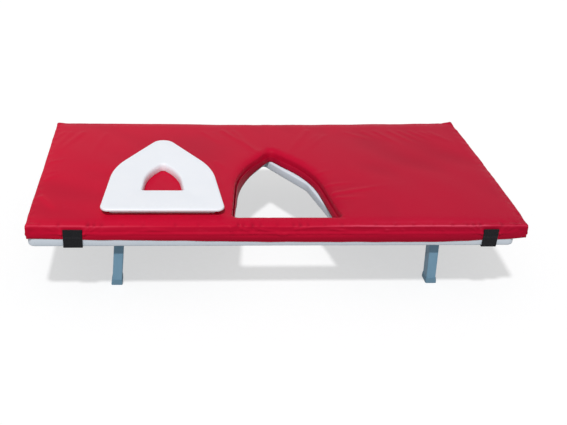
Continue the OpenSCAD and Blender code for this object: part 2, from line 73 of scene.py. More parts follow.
ahead = Vector((math.sin(camera_yaw) * math.cos(camera_pitch),
                math.cos(camera_yaw) * math.cos(camera_pitch), -math.sin(camera_pitch)))
level = Vector((math.cos(camera_yaw), -math.sin(camera_yaw), 0))
below = ahead.cross(level)
right = math.cos(camera_roll) * level + math.sin(camera_roll) * below
down = -math.sin(camera_roll) * level + math.cos(camera_roll) * below
lens = bpy.data.cameras.new("camera")
lens.sensor_width = 36
lens.lens = focal_px * lens.sensor_width / PHOTO_W
lens.shift_x = (PHOTO_W / 2 - centre_px[0]) / PHOTO_W
lens.shift_y = -(PHOTO_H / 2 - centre_px[1]) / PHOTO_W
camera = bpy.data.objects.new("camera", lens)
turn = Matrix((right, -down, -ahead)).transposed().to_4x4()
camera.matrix_world = Matrix.Translation(camera_at) @ turn
bpy.context.scene.collection.objects.link(camera)
bpy.context.scene.camera = camera


# Floor and light
# A white studio floor that shows only the table's soft shadow. A soft lamp high in front lights the
# table, a lower one reaches the legs under the board, a steeper one casts the shadow on the floor, and an
# even white surround fills the rest.
class Wire:
    """An output socket of a node tree. Arithmetic on wires adds Math nodes to the tree."""

    def __init__(self, tree, socket=None):
        self.tree = tree
        self.socket = socket

    def node(self, kind, settings, inputs, output=0):
        """A new node: its settings first, then its sockets' values or links. Returns one output."""
        made = self.tree.nodes.new(kind)
        for name, value in settings.items():
            setattr(made, name, value)
        for name, value in inputs.items():
            if isinstance(value, Wire):
                self.tree.links.new(value.socket, made.inputs[name])
            else:
                made.inputs[name].default_value = value
        return Wire(self.tree, made.outputs[output] if made.outputs else None)

    def math(self, operation, a, b=0.0):
        return self.node("ShaderNodeMath", {"operation": operation}, {0: a, 1: b})

    def mix(self, factor, a, b):
        """The colour b over a by factor."""
        settings = {"data_type": "RGBA"}
        return self.node("ShaderNodeMix", settings, {0: factor, 6: a, 7: b}, output=2)

    def __add__(self, other):
        return self.math("ADD", self, other)

    def __sub__(self, other):
        return self.math("SUBTRACT", self, other)

    def __rsub__(self, other):
        return self.math("SUBTRACT", other, self)

    def __mul__(self, other):
        return self.math("MULTIPLY", self, other)

    __radd__ = __add__
    __rmul__ = __mul__


def colour(r, g, b):
    """A colour given as it looks on a screen, from 0 to 255, as the shaders take it."""
    def straight(v):
        v /= 255
        return v / 12.92 if v <= 0.04045 else ((v + 0.055) / 1.055) ** 2.4
    return straight(r), straight(g), straight(b), 1


scene = bpy.context.scene
scene.view_settings.view_transform = "Standard"

floor_reach = 30
shadow_level = 0.56
paper_as_lit, paper_as_seen = (0.32, 0.32, 0.32, 1), (0.98, 0.98, 0.985, 1)
floor_mesh = bpy.data.meshes.new("floor")
floor_mesh.from_pydata([(x * floor_reach, y * floor_reach, 0) for x, y in
                        ((-1, -1), (1, -1), (1, 1), (-1, 1))], [], [(0, 1, 2, 3)])
floor = bpy.data.objects.new("floor", floor_mesh)
scene.collection.objects.link(floor)
paper = bpy.data.materials.new("floor_paper")
paper.use_nodes = True
paper.node_tree.nodes.clear()
start = Wire(paper.node_tree)


def seen_directly(start):
    """1 for rays that show the background: from the camera, in a reflection or through glass."""
    seen = start.node("ShaderNodeLightPath", {}, {}, "Is Camera Ray")
    for name in ("Is Glossy Ray", "Is Transmission Ray"):
        seen = start.math("MAXIMUM", seen, start.node("ShaderNodeLightPath", {}, {}, name))
    return seen


seen = seen_directly(start)
lit = start.node("ShaderNodeBsdfDiffuse", {}, {"Color": start.mix(seen, paper_as_lit, paper_as_seen)})
glow = start.node("ShaderNodeEmission", {}, {"Color": (1, 1, 1, 1), "Strength": 1.0})
start.node("ShaderNodeOutputMaterial", {}, {
    "Surface": start.node("ShaderNodeMixShader", {}, {0: seen * shadow_level, 1: lit, 2: glow})})
floor_mesh.materials.append(paper)

fill_level = 0.36
world = bpy.data.worlds.new("surround")
scene.world = world
world.use_nodes = True
world.node_tree.nodes.clear()
start = Wire(world.node_tree)
seen = seen_directly(start)
start.node("ShaderNodeOutputWorld", {}, {
    "Surface": start.node("ShaderNodeBackground", {}, {
        "Color": (1, 1, 1, 1), "Strength": seen * (1 - fill_level) + fill_level})})


def lamp(name, strength, heading, height, spread):
    """A distant lamp: heading is how far right its light goes, height how steeply it comes down."""
    light = bpy.data.lights.new(name, "SUN")
    light.energy = strength
    light.angle = math.radians(spread)
    made = bpy.data.objects.new(name, light)
    goes = Vector((math.sin(math.radians(heading)) * math.cos(math.radians(height)),
                   math.cos(math.radians(heading)) * math.cos(math.radians(height)),
                   -math.sin(math.radians(height))))
    made.rotation_euler = goes.to_track_quat("-Z", "Y").to_euler()
    scene.collection.objects.link(made)
    return made


key = lamp("key_lamp", strength=2.35, heading=16, height=56, spread=5)
floor_lamp = lamp("floor_lamp", strength=2.42, heading=20, height=64, spread=5)
leg_lamp = lamp("leg_lamp", strength=1.9, heading=16, height=46, spread=2)


def only_on(light, wanted, objects):
    """Limits a lamp to a group of objects, or keeps it off them."""
    group = bpy.data.collections.new(light.name + "_reach")
    for o in objects:
        group.objects.link(o)
    light.light_linking.receiver_collection = group
    for child in group.collection_objects:
        child.light_linking.link_state = "INCLUDE" if wanted else "EXCLUDE"


under_board = [o for name, o in nodes.items() if name.startswith(("leg_", "foot_", "crossbar_"))]
only_on(key, False, [floor] + under_board)
only_on(floor_lamp, True, [floor])
only_on(leg_lamp, True, under_board)


# Board
# One sheet of white high-density polyethylene, 25 mm thick, sawn to size with routed, eased edges. The
# opening is routed right through, and brass inserts for the leg brackets are pressed in from below.
board_low, board_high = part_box("top_board")
board_t = board_high.z - board_low.z
board_ease = 4 * MM
tolerance = 0.01


def merged(node):
    """A copy of a CAD node's mesh as a bmesh, its loose triangles joined into faces."""
    work = bmesh.new()
    work.from_mesh(nodes[node].data)
    bmesh.ops.remove_doubles(work, verts=work.verts, dist=0.01 * MM)
    bmesh.ops.dissolve_limit(work, angle_limit=math.radians(0.5), verts=work.verts, edges=work.edges)
    return work


def mesh_of(work, name):
    """A bmesh written to a new mesh, and freed."""
    mesh = bpy.data.meshes.new(name)
    work.to_mesh(mesh)
    work.free()
    return mesh


def new_object(name, mesh, material):
    made = bpy.data.objects.new(name, mesh)
    scene.collection.objects.link(made)
    mesh.materials.clear()
    mesh.materials.append(material)
    return made


def fitted(piece, body, slot, *replaced):
    """Says which body a finished piece moves with and what it stands for. Its slot argument is not used."""
    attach(piece, body)
    if replaced:
        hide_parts(*replaced)
    return piece


def smooth(mesh, sharp_angle=40):
    mesh.shade_smooth()
    mesh.set_sharp_from_angle(angle=math.radians(sharp_angle))


def start_material(name):
    material = bpy.data.materials.new(name)
    material.use_nodes = True
    material.node_tree.nodes.clear()
    start = Wire(material.node_tree)
    return material, start, start.node("ShaderNodeTexCoord", {}, {}, "Object")


def close_material(start, **sockets):
    """The shader and the output. Names of sockets are written with _ for a space."""
    inputs = {name.replace("_", " "): value for name, value in sockets.items()}
    shader = start.node("ShaderNodeBsdfPrincipled", {}, inputs)
    start.node("ShaderNodeOutputMaterial", {}, {"Surface": shader})


def speckle(start, place, scale, detail=3.0, rough=0.55):
    return start.node("ShaderNodeTexNoise", {}, {
        "Vector": place, "Scale": scale, "Detail": detail, "Roughness": rough}, "Fac")


def bump(start, height, distance):
    return start.node("ShaderNodeBump", {}, {
        "Height": height, "Distance": distance, "Strength": 1.0}, "Normal")


def plastic(name, dark, pale, rough, scuffs, skin, pitting):
    """Satin plastic. Scuffs and skin are each a scale and a detail, and rough is the least roughness
    and what the scuffs add to it."""
    material, start, place = start_material(name)
    scuffed = speckle(start, place, *scuffs)
    close_material(start, Base_Color=start.mix(scuffed, colour(*dark), colour(*pale)),
                   Roughness=scuffed * rough[1] + rough[0],
                   Normal=bump(start, speckle(start, place, *skin), pitting * MM),
                   IOR=1.5, Specular_IOR_Level=0.3)
    return material


# Only walls that run right through are eased at their rims, not the bores for the inserts.
work = merged("top_board")
walls = [f for f in work.faces if abs(f.normal.z) < tolerance
         and max(v.co.z for v in f.verts) - min(v.co.z for v in f.verts) > board_t * (1 - tolerance)]
rims = {e for f in walls for e in f.edges
        if any(abs(g.normal.z) > 1 - tolerance for g in e.link_faces)}
bmesh.ops.bevel(work, geom=list(rims), offset=board_ease, segments=3, profile=0.5, affect="EDGES")
board_mesh = mesh_of(work, "board_panel")
smooth(board_mesh, 30)
board_plastic = plastic("board_plastic", (208, 218, 229), (219, 227, 236), rough=(0.34, 0.18),
                        scuffs=(35, 6), skin=(900, 1), pitting=0.05)
board_panel = new_object("board_panel", board_mesh, board_plastic)
fitted(board_panel, "board", "board_plastic", "top_board")


# Leg brackets and spring catches
# Each bracket is folded from 2.5 mm plate, powder coated a darker blue than the legs, deepened further as
# painted shade under the board, and screwed up into brass inserts. A bolt and nut carry the leg between its
# cheeks. A bright spring strip under the board hooks its lip behind each crossbar and lies flat under it
# when the legs are folded.
CORNERS = [(side, end) for side in ("left", "right") for end in ("front", "rear")]
plate_ease = 0.6 * MM
strip_ease = 0.25 * MM
sharp_edge = math.radians(35)


def eased_copy(name, node, ease, material, body, slot):
    """Replaces a CAD node by a copy whose sharp edges are eased."""
    work = merged(node)
    edges = [e for e in work.edges if len(e.link_faces) == 2 and e.calc_face_angle(0) > sharp_edge]
    bmesh.ops.bevel(work, geom=edges, offset=ease, segments=2, profile=0.5, affect="EDGES")
    mesh = mesh_of(work, name)
    smooth(mesh)
    return fitted(new_object(name, mesh, material), body, slot, node)


def powder_coat(name, dark, pale, rough):
    """Satin powder coat: a fine pebble skin, cloudy tint, and small rubbed marks."""
    material, start, place = start_material(name)
    cloud = speckle(start, place, 22, detail=5)
    pebble = speckle(start, place, 1600, detail=2)
    rubs_and_sheen = start.math("GREATER_THAN", speckle(start, place, 160, detail=4), 0.73)
    tint = start.mix(cloud, colour(*dark), colour(*pale))
    tint = start.mix(rubs_and_sheen * 0.35, tint, colour(168, 186, 198))
    close_material(start, Base_Color=tint, Roughness=cloud * 0.15 + rough,
                   Normal=bump(start, pebble, 0.06 * MM), IOR=1.5, Specular_IOR_Level=0.4)
    return material


def bright_metal(name, pale, rough, streak=600.0):
    """Plated or rolled metal with fine streaks along its length and a few dull spots."""
    material, start, place = start_material(name)
    stretched = start.node("ShaderNodeMapping", {}, {"Vector": place, "Scale": (0.06, 1.0, 1.0)})
    streaks = speckle(start, stretched, streak, detail=4)
    dull = speckle(start, place, 90, detail=3)
    tint = start.mix(dull, colour(*pale), colour(*(v * 0.82 for v in pale)))
    close_material(start, Base_Color=tint, Metallic=1.0, Roughness=dull * 0.2 + rough,
                   Normal=bump(start, streaks, 0.02 * MM))
    return material


# The bracket coat's darker blue is deepened as painted shade under the board.
bracket_coat = powder_coat("bracket_coat", (54, 82, 102), (67, 97, 119), 0.36)
zinc = bright_metal("bright_zinc", (206, 208, 212), 0.24)
spring_strip = bright_metal("spring_strip", (196, 196, 198), 0.2, streak=900.0)
brass = bright_metal("turned_brass", (214, 178, 104), 0.22)


def repaint(material, *names):
    """Gives CAD nodes that stay a material."""
    for name in names:
        for entry in nodes[name].material_slots:
            entry.material = material


for side, end in CORNERS:
    eased_copy(f"bracket_{side}_{end}", f"hinge_bracket_{side}_{end}", plate_ease, bracket_coat,
               "board", "bracket_steel")
for side in ("left", "right"):
    catch = eased_copy(f"catch_{side}", f"spring_catch_{side}", strip_ease, spring_strip,
                       "board", "spring_steel")
    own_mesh(catch)
repaint(zinc, "pivot_bolts", "pivot_nuts")
repaint(brass, "bracket_inserts")


# Screws under the board
# Zinc-plated button-head screws with hexagon sockets: four to a bracket, and two smaller ones in each
# catch and each strap bar. One tree sets a screw at every point of a group.
def plain_ring(radius, z, count):
    turns = 2 * math.pi * np.arange(count) / count
    return np.column_stack([radius * np.cos(turns), radius * np.sin(turns), np.full(count, z)])


def hex_ring(across, z, count):
    """A hexagon of a width across its flats, with as many points as the rings round it."""
    turns = 2 * math.pi * np.arange(count) / count
    reach = across / 2 / np.cos((turns + math.pi / 6) % (math.pi / 3) - math.pi / 6)
    return np.column_stack([reach * np.cos(turns), reach * np.sin(turns), np.full(count, z)])


def ring_mesh(name, rings, closed=True):
    """A mesh through a stack of rings of points. The last ring joins the first, or else both are capped."""
    count, size = len(rings), len(rings[0])
    points = np.concatenate(rings)
    faces = []
    for k in range(count if closed else count - 1):
        for i in range(size):
            j, up = (i + 1) % size, (k + 1) % count
            faces.append((k * size + i, k * size + j, up * size + j, up * size + i))
    if not closed:
        faces += [tuple(range(size)), tuple(range((count - 1) * size, count * size))]
    mesh = bpy.data.meshes.new(name)
    mesh.from_pydata(points.tolist(), [], faces)
    mesh.validate()
    work = bmesh.new()
    work.from_mesh(mesh)
    bmesh.ops.recalc_face_normals(work, faces=work.faces)
    work.to_mesh(mesh)
    work.free()
    return mesh


def arc_steps(count):
    """Points of a quarter circle of radius 1: how far in, and how far up."""
    return [(1 - math.cos(a), math.sin(a)) for a in (math.pi / 2 * k / count for k in range(count + 1))]


def button_screw(name, head_r, head_h, shank_r, shank_l):
    """A screw whose head hangs below the origin, with its shank above it."""
    count = 24
    socket_w, socket_h = head_r * 0.72, head_h * 0.55
    rings = [hex_ring(socket_w, socket_h - head_h, count), hex_ring(socket_w, -head_h, count)]
    flat_r = head_r * 0.55
    rings += [plain_ring(flat_r + (head_r - flat_r) * s, -head_h * (1 - c), count)
              for c, s in arc_steps(5)]
    rings += [plain_ring(shank_r, 0, count), plain_ring(shank_r, shank_l - shank_r, count),
              plain_ring(shank_r * 0.4, shank_l, count)]
    mesh = ring_mesh(name, rings, closed=False)
    smooth(mesh)
    return new_object(name, mesh, zinc)


def new_tree(name, *sockets):
    """A geometry tree with named inputs. Returns the tree and a wire on each input, by name."""
    tree = bpy.data.node_groups.new(name, "GeometryNodeTree")
    tree.interface.new_socket("Geometry", in_out="INPUT", socket_type="NodeSocketGeometry")
    for label, kind in sockets:
        tree.interface.new_socket(label, in_out="INPUT", socket_type="NodeSocket" + kind)
    tree.interface.new_socket("Geometry", in_out="OUTPUT", socket_type="NodeSocketGeometry")
    given = tree.nodes.new("NodeGroupInput")
    return tree, {socket.name: Wire(tree, socket) for socket in given.outputs if socket.name}


def end_tree(instances, finish):
    """Makes the instances real, gives them their material, and ends the tree."""
    real = instances.node("GeometryNodeRealizeInstances", {}, {"Geometry": instances})
    done = real.node("GeometryNodeSetMaterial", {}, {"Geometry": real, "Material": finish})
    done.node("NodeGroupOutput", {}, {"Geometry": done})


def evaluated_mesh(piece):
    """The piece's mesh with its modifiers applied."""
    bpy.context.view_layer.update()
    graph = bpy.context.evaluated_depsgraph_get()
    return bpy.data.meshes.new_from_object(piece.evaluated_get(graph))


def grow(name, points, edges, tree, material, **inputs):
    """Runs a geometry tree on points or lines and returns a plain object of what it makes."""
    mesh = bpy.data.meshes.new(name + "_guide")
    mesh.from_pydata([tuple(p) for p in points], edges, [])
    guide = bpy.data.objects.new(name + "_guide", mesh)
    scene.collection.objects.link(guide)
    modifier = guide.modifiers.new(name, "NODES")
    modifier.node_group = tree
    values = dict(inputs, Finish=material)
    for item in tree.interface.items_tree:
        if item.item_type == "SOCKET" and item.in_out == "INPUT" and item.name in values:
            modifier[item.identifier] = values[item.name]
    made = evaluated_mesh(guide)
    bpy.data.objects.remove(guide)
    return new_object(name, made, material)


screw_tree, given = new_tree("screws_at_points", ("Screw", "Object"), ("Finish", "Material"))
shape = given["Screw"].node("GeometryNodeObjectInfo", {}, {"Object": given["Screw"]}, "Geometry")
end_tree(shape.node("GeometryNodeInstanceOnPoints", {}, {
    "Points": given["Geometry"], "Instance": shape}), given["Finish"])

leg_b, cheek_gap, plate_t, flange_w = 32 * MM, 1.2 * MM, 2.5 * MM, 22 * MM
hole_x = 13 * MM
hole_y = leg_b / 2 + cheek_gap + plate_t + flange_w / 2
leg_middles = {}
for side, end in CORNERS:
    low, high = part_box(f"pivot_bush_{side}_{end}")
    leg_middles[side, end] = (low + high) / 2
bracket_points = [(m.x + x * hole_x, m.y + y * hole_y, board_low.z - plate_t)
                  for m in leg_middles.values() for x in (-1, 1) for y in (-1, 1)]

catch_t, catch_pad, catch_w = 1.2 * MM, 28 * MM, 40 * MM
catch_points = []
for side, inward in (("left", 1), ("right", -1)):
    low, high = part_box(f"spring_catch_{side}")
    inner_x = high.x if inward > 0 else low.x
    catch_points += [(inner_x - inward * catch_pad / 2, y * catch_w / 4, board_low.z - catch_t)
                     for y in (-1, 1)]

bar_screw_share = 0.28
bar_low, bar_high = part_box("strap_bars")
bar_w = 14 * MM
strap_points = []
strap_boxes = {corner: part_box("strap_flap_%s_%s" % corner) for corner in CORNERS}
for (side, end), (low, high) in strap_boxes.items():
    bar_y = bar_low.y + bar_w / 2 if end == "front" else bar_high.y - bar_w / 2
    strap_points += [((low.x + high.x) / 2 + x * bar_screw_share * (high.x - low.x), bar_y, bar_low.z)
                     for x in (-1, 1)]

# Each screw's head radius and height come first, then its shank's radius and length, in millimetres.
for name, points, replaced, sizes in (
        ("bracket_screw_set", bracket_points, "bracket_screws", (5.5, 3.3, 3.0, 16.5)),
        ("catch_screw_set", catch_points, "catch_screws", (3.6, 2.2, 2.0, 13.2)),
        ("strap_screw_set", strap_points, "strap_screws", (3.6, 2.2, 2.0, 15.8))):
    screw = button_screw(name + "_one", *(v * MM for v in sizes))
    group = grow(name, points, [], screw_tree, zinc, Screw=screw)
    bpy.data.objects.remove(screw)
    smooth(group.data)
    fitted(group, "board", "zinc_steel", replaced)


# Legs
# Rectangular steel tube, 25 x 32 mm, and a square crossbar welded between each pair, powder coated steel
# blue. The pair turns on nylon bushes, and each tube stands in a moulded foot cap.
moulded = {"scuffs": (30, 4), "skin": (500, 2), "pitting": 0.08}
leg_coat = powder_coat("leg_coat", (106, 146, 171), (125, 163, 187), 0.36)
foot_plastic = plastic("foot_plastic", (97, 131, 152), (112, 147, 168), (0.5, 0.15), **moulded)
nylon = plastic("natural_nylon", (226, 222, 206), (236, 233, 220), (0.4, 0.15), **moulded)
bead_tree, given = new_tree("beads_on_a_path", ("Pitch", "Float"), ("Size", "Vector"),
                            ("Finish", "Material"))
path = given["Geometry"].node("GeometryNodeMeshToCurve", {}, {"Mesh": given["Geometry"]})
path = path.node("GeometryNodeResampleCurve", {"mode": "LENGTH"}, {"Curve": path, "Length": given["Pitch"]})
bead = path.node("GeometryNodeMeshUVSphere", {}, {"Segments": 8, "Rings": 6, "Radius": 0.5})
bead = path.node("GeometryNodeSetShadeSmooth", {}, {"Geometry": bead})
along = path.node("GeometryNodeInputTangent", {}, {})
facing = path.node("FunctionNodeAlignRotationToVector", {"axis": "X"}, {"Vector": along})
end_tree(path.node("GeometryNodeInstanceOnPoints", {}, {
    "Points": path, "Instance": bead, "Rotation": facing, "Scale": given["Size"]}), given["Finish"])

weld_pitch, weld_size = 2.2 * MM, 3.2 * MM
bar_half = 9 * MM
for side in ("left", "right"):
    repaint(leg_coat, f"crossbar_{side}", f"leg_{side}_front", f"leg_{side}_rear")
    low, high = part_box(f"crossbar_{side}")
    middle = (low + high) / 2
    corners = [(-1, -1), (1, -1), (1, 1), (-1, 1)]
    points = [(middle.x + x * bar_half, y, middle.z + z * bar_half)
              for y in (low.y, high.y) for x, z in corners]
    edges = [(4 * loop + k, 4 * loop + (k + 1) % 4) for loop in (0, 1) for k in range(4)]
    weld = grow(f"weld_{side}", points, edges, bead_tree, leg_coat, Pitch=weld_pitch,
                Size=(weld_size, weld_size, weld_size))
    fitted(weld, f"{side}_legs", "painted_steel")
repaint(foot_plastic, *("foot_%s_%s" % corner for corner in CORNERS))
repaint(nylon, *("pivot_bush_%s_%s" % corner for corner in CORNERS))


# Insert plate
# A loose plate of whiter plastic: a thin rim that laps over the mat all round, a thick step below it
# that drops into the mat's opening, and a small shield-shaped hole. All edges are routed round.
well_w, well_d = 268 * MM, 364 * MM
well_lean, well_angle = 7.0, 82.4
tip_run = 2.5 * MM
plate_lean, plate_angle, small_angle = 5.6, 68.0, 82.0
corner_points = 14


def rounded(before, corner, after, radius, count):
    """Points of a corner of an outline, rounded with a radius."""
    a = (before - corner) / np.linalg.norm(before - corner)
    b = (after - corner) / np.linalg.norm(after - corner)
    half = math.acos(float(a @ b)) / 2
    middle = corner + (a + b) / np.linalg.norm(a + b) * radius / math.sin(half)
    first = corner + a * radius / math.tan(half) - middle
    last = corner + b * radius / math.tan(half) - middle
    from_angle = math.atan2(first[1], first[0])
    arc = (math.atan2(last[1], last[0]) - from_angle + math.pi) % (2 * math.pi) - math.pi
    angles = from_angle + arc * np.arange(count + 1) / count
    return middle + radius * np.stack([np.cos(angles), np.sin(angles)], axis=1)


def shield(w, d, angle, lean, grow, front_r, shoulder_r, apex_r):
    """Outline of a shield from the middle of its front edge, grown all round. Angles are in degrees."""
    half, lean = math.radians(angle / 2), math.radians(lean)
    side = w / 2 * math.cos(lean) + grow
    slope = d * math.sin(half) + grow
    det = math.sin(half - lean)
    p1 = np.array([(side + grow * math.sin(lean)) / math.cos(lean), -grow])
    p2 = np.array([(side * math.sin(half) - slope * math.sin(lean)) / det,
                   (slope * math.cos(lean) - side * math.cos(half)) / det])
    p3 = np.array([0, slope / math.sin(half)])
    p4, p5 = p2 * (-1, 1), p1 * (-1, 1)
    corners = [(p5, p1, p2, front_r), (p1, p2, p3, shoulder_r + grow), (p2, p3, p4, apex_r),
               (p3, p4, p5, shoulder_r + grow), (p4, p5, p1, front_r)]
    return np.concatenate([rounded(*c, corner_points) for c in corners])


plate_low, plate_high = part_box("insert_plate")
rim_t = 7 * MM
lap_w = 20 * MM
step_grow = 2.5 * MM
rim_corner_r, rim_apex_r = 20 * MM, 36 * MM
step_corner_r, step_apex_r = 13 * MM, 22 * MM
plate_shoulder_r = 197 * MM
small_w, small_d, small_in = 104 * MM, 146 * MM, 80 * MM
small_corner_r, small_apex_r, small_shoulder_r = 4 * MM, 9 * MM, 150 * MM
rim_round, under_round, foot_round = 4 * MM, 1 * MM, 1.5 * MM
hole_round, hole_rise = 7 * MM, 13 * MM
plate_x = (plate_low.x + plate_high.x) / 2
plate_y = plate_low.y + lap_w


def at_height(outline, x, y, z):
    return np.column_stack([outline[:, 0] + x, outline[:, 1] + y, np.full(len(outline), z)])


def plate_ring(grow, corner_r, apex_r, inset, z):
    outline = shield(well_w, well_d + tip_run, plate_angle, plate_lean, grow - inset,
                     corner_r - inset, plate_shoulder_r, apex_r - inset)
    return at_height(outline, plate_x, plate_y, z)


def rim_ring(inset, z):
    return plate_ring(lap_w, rim_corner_r, rim_apex_r, inset, z)


def step_ring(inset, z):
    return plate_ring(step_grow, step_corner_r, step_apex_r, inset, z)


def hole_ring(grow, z):
    outline = shield(small_w, small_d, small_angle, plate_lean, grow,
                     small_corner_r + grow, small_shoulder_r, small_apex_r + grow)
    return at_height(outline, plate_x, plate_y + small_in, z)


top, bottom, under_rim = plate_high.z, plate_low.z, plate_high.z - rim_t
rings = [hole_ring(foot_round * (1 - s), bottom + foot_round * c) for c, s in arc_steps(3)]
rings += [hole_ring(hole_round * c, top - hole_rise * (1 - s)) for c, s in arc_steps(9)]
rings += [rim_ring(rim_round * 4, top)]
rings += [rim_ring(rim_round * (1 - s), top - rim_round * c) for c, s in arc_steps(6)]
rings += [rim_ring(under_round * c, under_rim + under_round * (1 - s)) for c, s in arc_steps(3)]
rings += [step_ring(0, under_rim)]
rings += [step_ring(foot_round * c, bottom + foot_round * (1 - s)) for c, s in arc_steps(3)]
plate_mesh = ring_mesh("insert_plate_routed", rings)
smooth(plate_mesh, 50)
insert_plastic = plastic("insert_plastic", (234, 238, 245), (241, 243, 248), rough=(0.3, 0.15),
                         scuffs=(18, 4), skin=(700, 2), pitting=0.04)
plate = new_object("insert_plate_routed", plate_mesh, insert_plastic)
fitted(plate, "insert", "insert_plastic", "insert_plate")


# Mat
# A 34 mm slab of firm foam in a cover of red vinyl. The cover is drawn tight, so it puckers along its
# front edge, pulls in ridges from the opening's apex and folds beside the straps that hold it down.
mat_low, mat_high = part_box("mat_cover")
mat_top = mat_high.z
mat_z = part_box("mat_base")[0].z
mat_h = mat_top - mat_z
mat_half_x, mat_half_y = (mat_high.x - mat_low.x) / 2, (mat_high.y - mat_low.y) / 2
mat_mid_x = (mat_high.x + mat_low.x) / 2
foam_voxel = 5 * MM
puff_cap = 1.2 * MM
well_x, well_y = 20 * MM, board_low.y + 47 * MM
well_corner_r, well_shoulder_r, well_apex_r = 9 * MM, 285 * MM, 8 * MM
lip_w, lip_fall = 26 * MM, 17 * MM


def red_vinyl(name, dark, pale):
    """Soft red vinyl: a very fine grain and cloudy tint, painted sheen that is paler towards one end and in
    faint diagonal streaks, a painted highlight on a crease and painted shade in deep folds.
    """
    material, start, place = start_material(name)
    cloud = speckle(start, place, 4, detail=4)
    along = start.node("ShaderNodeSeparateXYZ", {}, {"Vector": place})
    # Painted sheen: the vinyl is paler towards its left end.
    painted_falloff = start.node("ShaderNodeMapRange", {}, {"Value": along, 1: -0.62, 2: 0.62, 3: 1.0, 4: 0.0})
    # Painted sheen: faint pale streaks run diagonally over the top.
    streaked = start.node("ShaderNodeMapping", {}, {"Vector": place, "Scale": (0.35, 1.0, 1.0),
                                                    "Rotation": (0, 0, math.radians(35))})
    rubs_and_sheen = speckle(start, streaked, 55, detail=5, rough=0.65)
    grain = start.node("ShaderNodeTexVoronoi", {}, {"Vector": place, "Scale": 1100.0}, "Distance")
    soft = speckle(start, place, 60, detail=3)
    worn = start.node("ShaderNodeAttribute", {"attribute_name": "worn"}, {}, "Fac")
    deep = start.node("ShaderNodeAttribute", {"attribute_name": "deep"}, {}, "Fac")
    tint = start.mix(cloud * 0.4 + painted_falloff * 0.6, colour(*dark), colour(*pale))
    tint = start.mix(start.math("MAXIMUM", rubs_and_sheen - 0.6, 0.0) * 0.5, tint, colour(214, 70, 96))
    # Painted shade darkens deep folds and the strip's lower edge.
    tint = start.mix(deep * 0.5, tint, colour(96, 6, 28))
    # A painted highlight pales the crease.
    tint = start.mix(worn * 0.75, tint, colour(228, 92, 120))
    close_material(start, Base_Color=tint, Roughness=cloud * 0.12 + 0.38,
                   Normal=bump(start, grain * 0.3 + soft, 0.12 * MM), IOR=1.5, Specular_IOR_Level=0.05)
    return material


def point_rows(mesh, kind="co"):
    """A row of three numbers for each point of a mesh: its place, or its normal."""
    rows = np.empty(len(mesh.vertices) * 3, np.float64)
    mesh.vertices.foreach_get(kind, rows)
    return rows.reshape(-1, 3)


def set_coordinates(mesh, points):
    mesh.vertices.foreach_set("co", points.astype(np.float32).ravel())
    mesh.update()


def eased_where(piece, chosen, rounds):
    """Smooths the chosen points of a piece that many times."""
    group = piece.vertex_groups.new(name="eased")
    group.add([int(i) for i in np.flatnonzero(chosen)], 1.0, "REPLACE")
    relax = piece.modifiers.new("relax", "SMOOTH")
    relax.factor = 0.5
    relax.iterations = rounds
    relax.vertex_group = "eased"
    moved = point_rows(evaluated_mesh(piece))
    piece.modifiers.remove(relax)
    piece.vertex_groups.clear()
    set_coordinates(piece.data, moved)


def inflate(piece, pressure, frames, cap):
    """Cloth under pressure, stopped at a frame, with the movement of each point held under a cap."""
    rest = point_rows(piece.data)
    held = piece.vertex_groups.new(name="held")
    held.add([i for i, p in enumerate(rest) if p[2] < mat_low.z + 4 * MM], 1.0, "REPLACE")
    cloth = piece.modifiers.new("cloth", "CLOTH")
    cloth.settings.vertex_group_mass = "held"
    cloth.settings.use_pressure = True
    cloth.settings.uniform_pressure_force = pressure
    cloth.settings.tension_stiffness = 15
    cloth.settings.shrink_min = -0.02
    cloth.settings.effector_weights.gravity = 0
    cloth.point_cache.frame_end = frames
    for step in range(1, frames + 1):
        scene.frame_set(step)
    moved = point_rows(evaluated_mesh(piece)) - rest
    piece.modifiers.remove(cloth)
    piece.vertex_groups.clear()
    scene.frame_set(1)
    reach = np.linalg.norm(moved, axis=1, keepdims=True)
    set_coordinates(piece.data, rest + moved * cap / (reach + cap))


def ramp(value, start, end):
    """0 before start, 1 after end, smooth between."""
    t = np.clip((value - start) / (end - start), 0, 1)
    return t * t * (3 - 2 * t)


def by_stops(places, *stops):
    """Values on straight lines between stops, each a place and its value."""
    at, values = zip(*stops)
    return np.interp(places, at, values)


vinyl = red_vinyl("red_vinyl", (170, 14, 48), (205, 17, 52))
slab = new_object("mat_slab", mesh_of(merged("mat_foam"), "mat_slab"), vinyl)
remesh = slab.modifiers.new("voxels", "REMESH")
remesh.mode = "VOXEL"
remesh.voxel_size = foam_voxel
cover_mesh = evaluated_mesh(slab)
bpy.data.objects.remove(slab)
cover = new_object("mat_vinyl", cover_mesh, vinyl)
eased_where(cover, np.ones(len(cover_mesh.vertices), bool), 3)
inflate(cover, pressure=4, frames=20, cap=puff_cap)

# The front, the ends, the opening's lip and the corners get a finer mesh for their creases.
work = bmesh.new()
work.from_mesh(cover_mesh)
fine_front, fine_rim = board_low.y + 45 * MM, 22 * MM
fine_side, fine_lip = mat_z + 3 * MM, mat_top - 16 * MM
well_line = shield(well_w, well_d, well_angle, well_lean, 0, well_corner_r, well_shoulder_r, well_apex_r)
well_line = well_line + (well_x, well_y)


def well_distance(points):
    """How far points lie from the opening's outline in plan. Those well away from it get a metre."""
    found = np.full(len(points), 1.0)
    well_back = points[:, 1] - well_y
    near = np.flatnonzero((np.abs(points[:, 0] - well_x) < well_w)
                          & (well_back > -60 * MM) & (well_back < well_d * 1.3))
    run = np.roll(well_line, -1, axis=0) - well_line
    batches = 60
    for batch in np.array_split(near, batches):
        away = points[batch, None, :2] - well_line[None]
        share = np.clip((away * run).sum(2) / (run ** 2).sum(1), 0, 1)
        found[batch] = np.sqrt(((away - share[..., None] * run) ** 2).sum(2)).min(1)
    return found


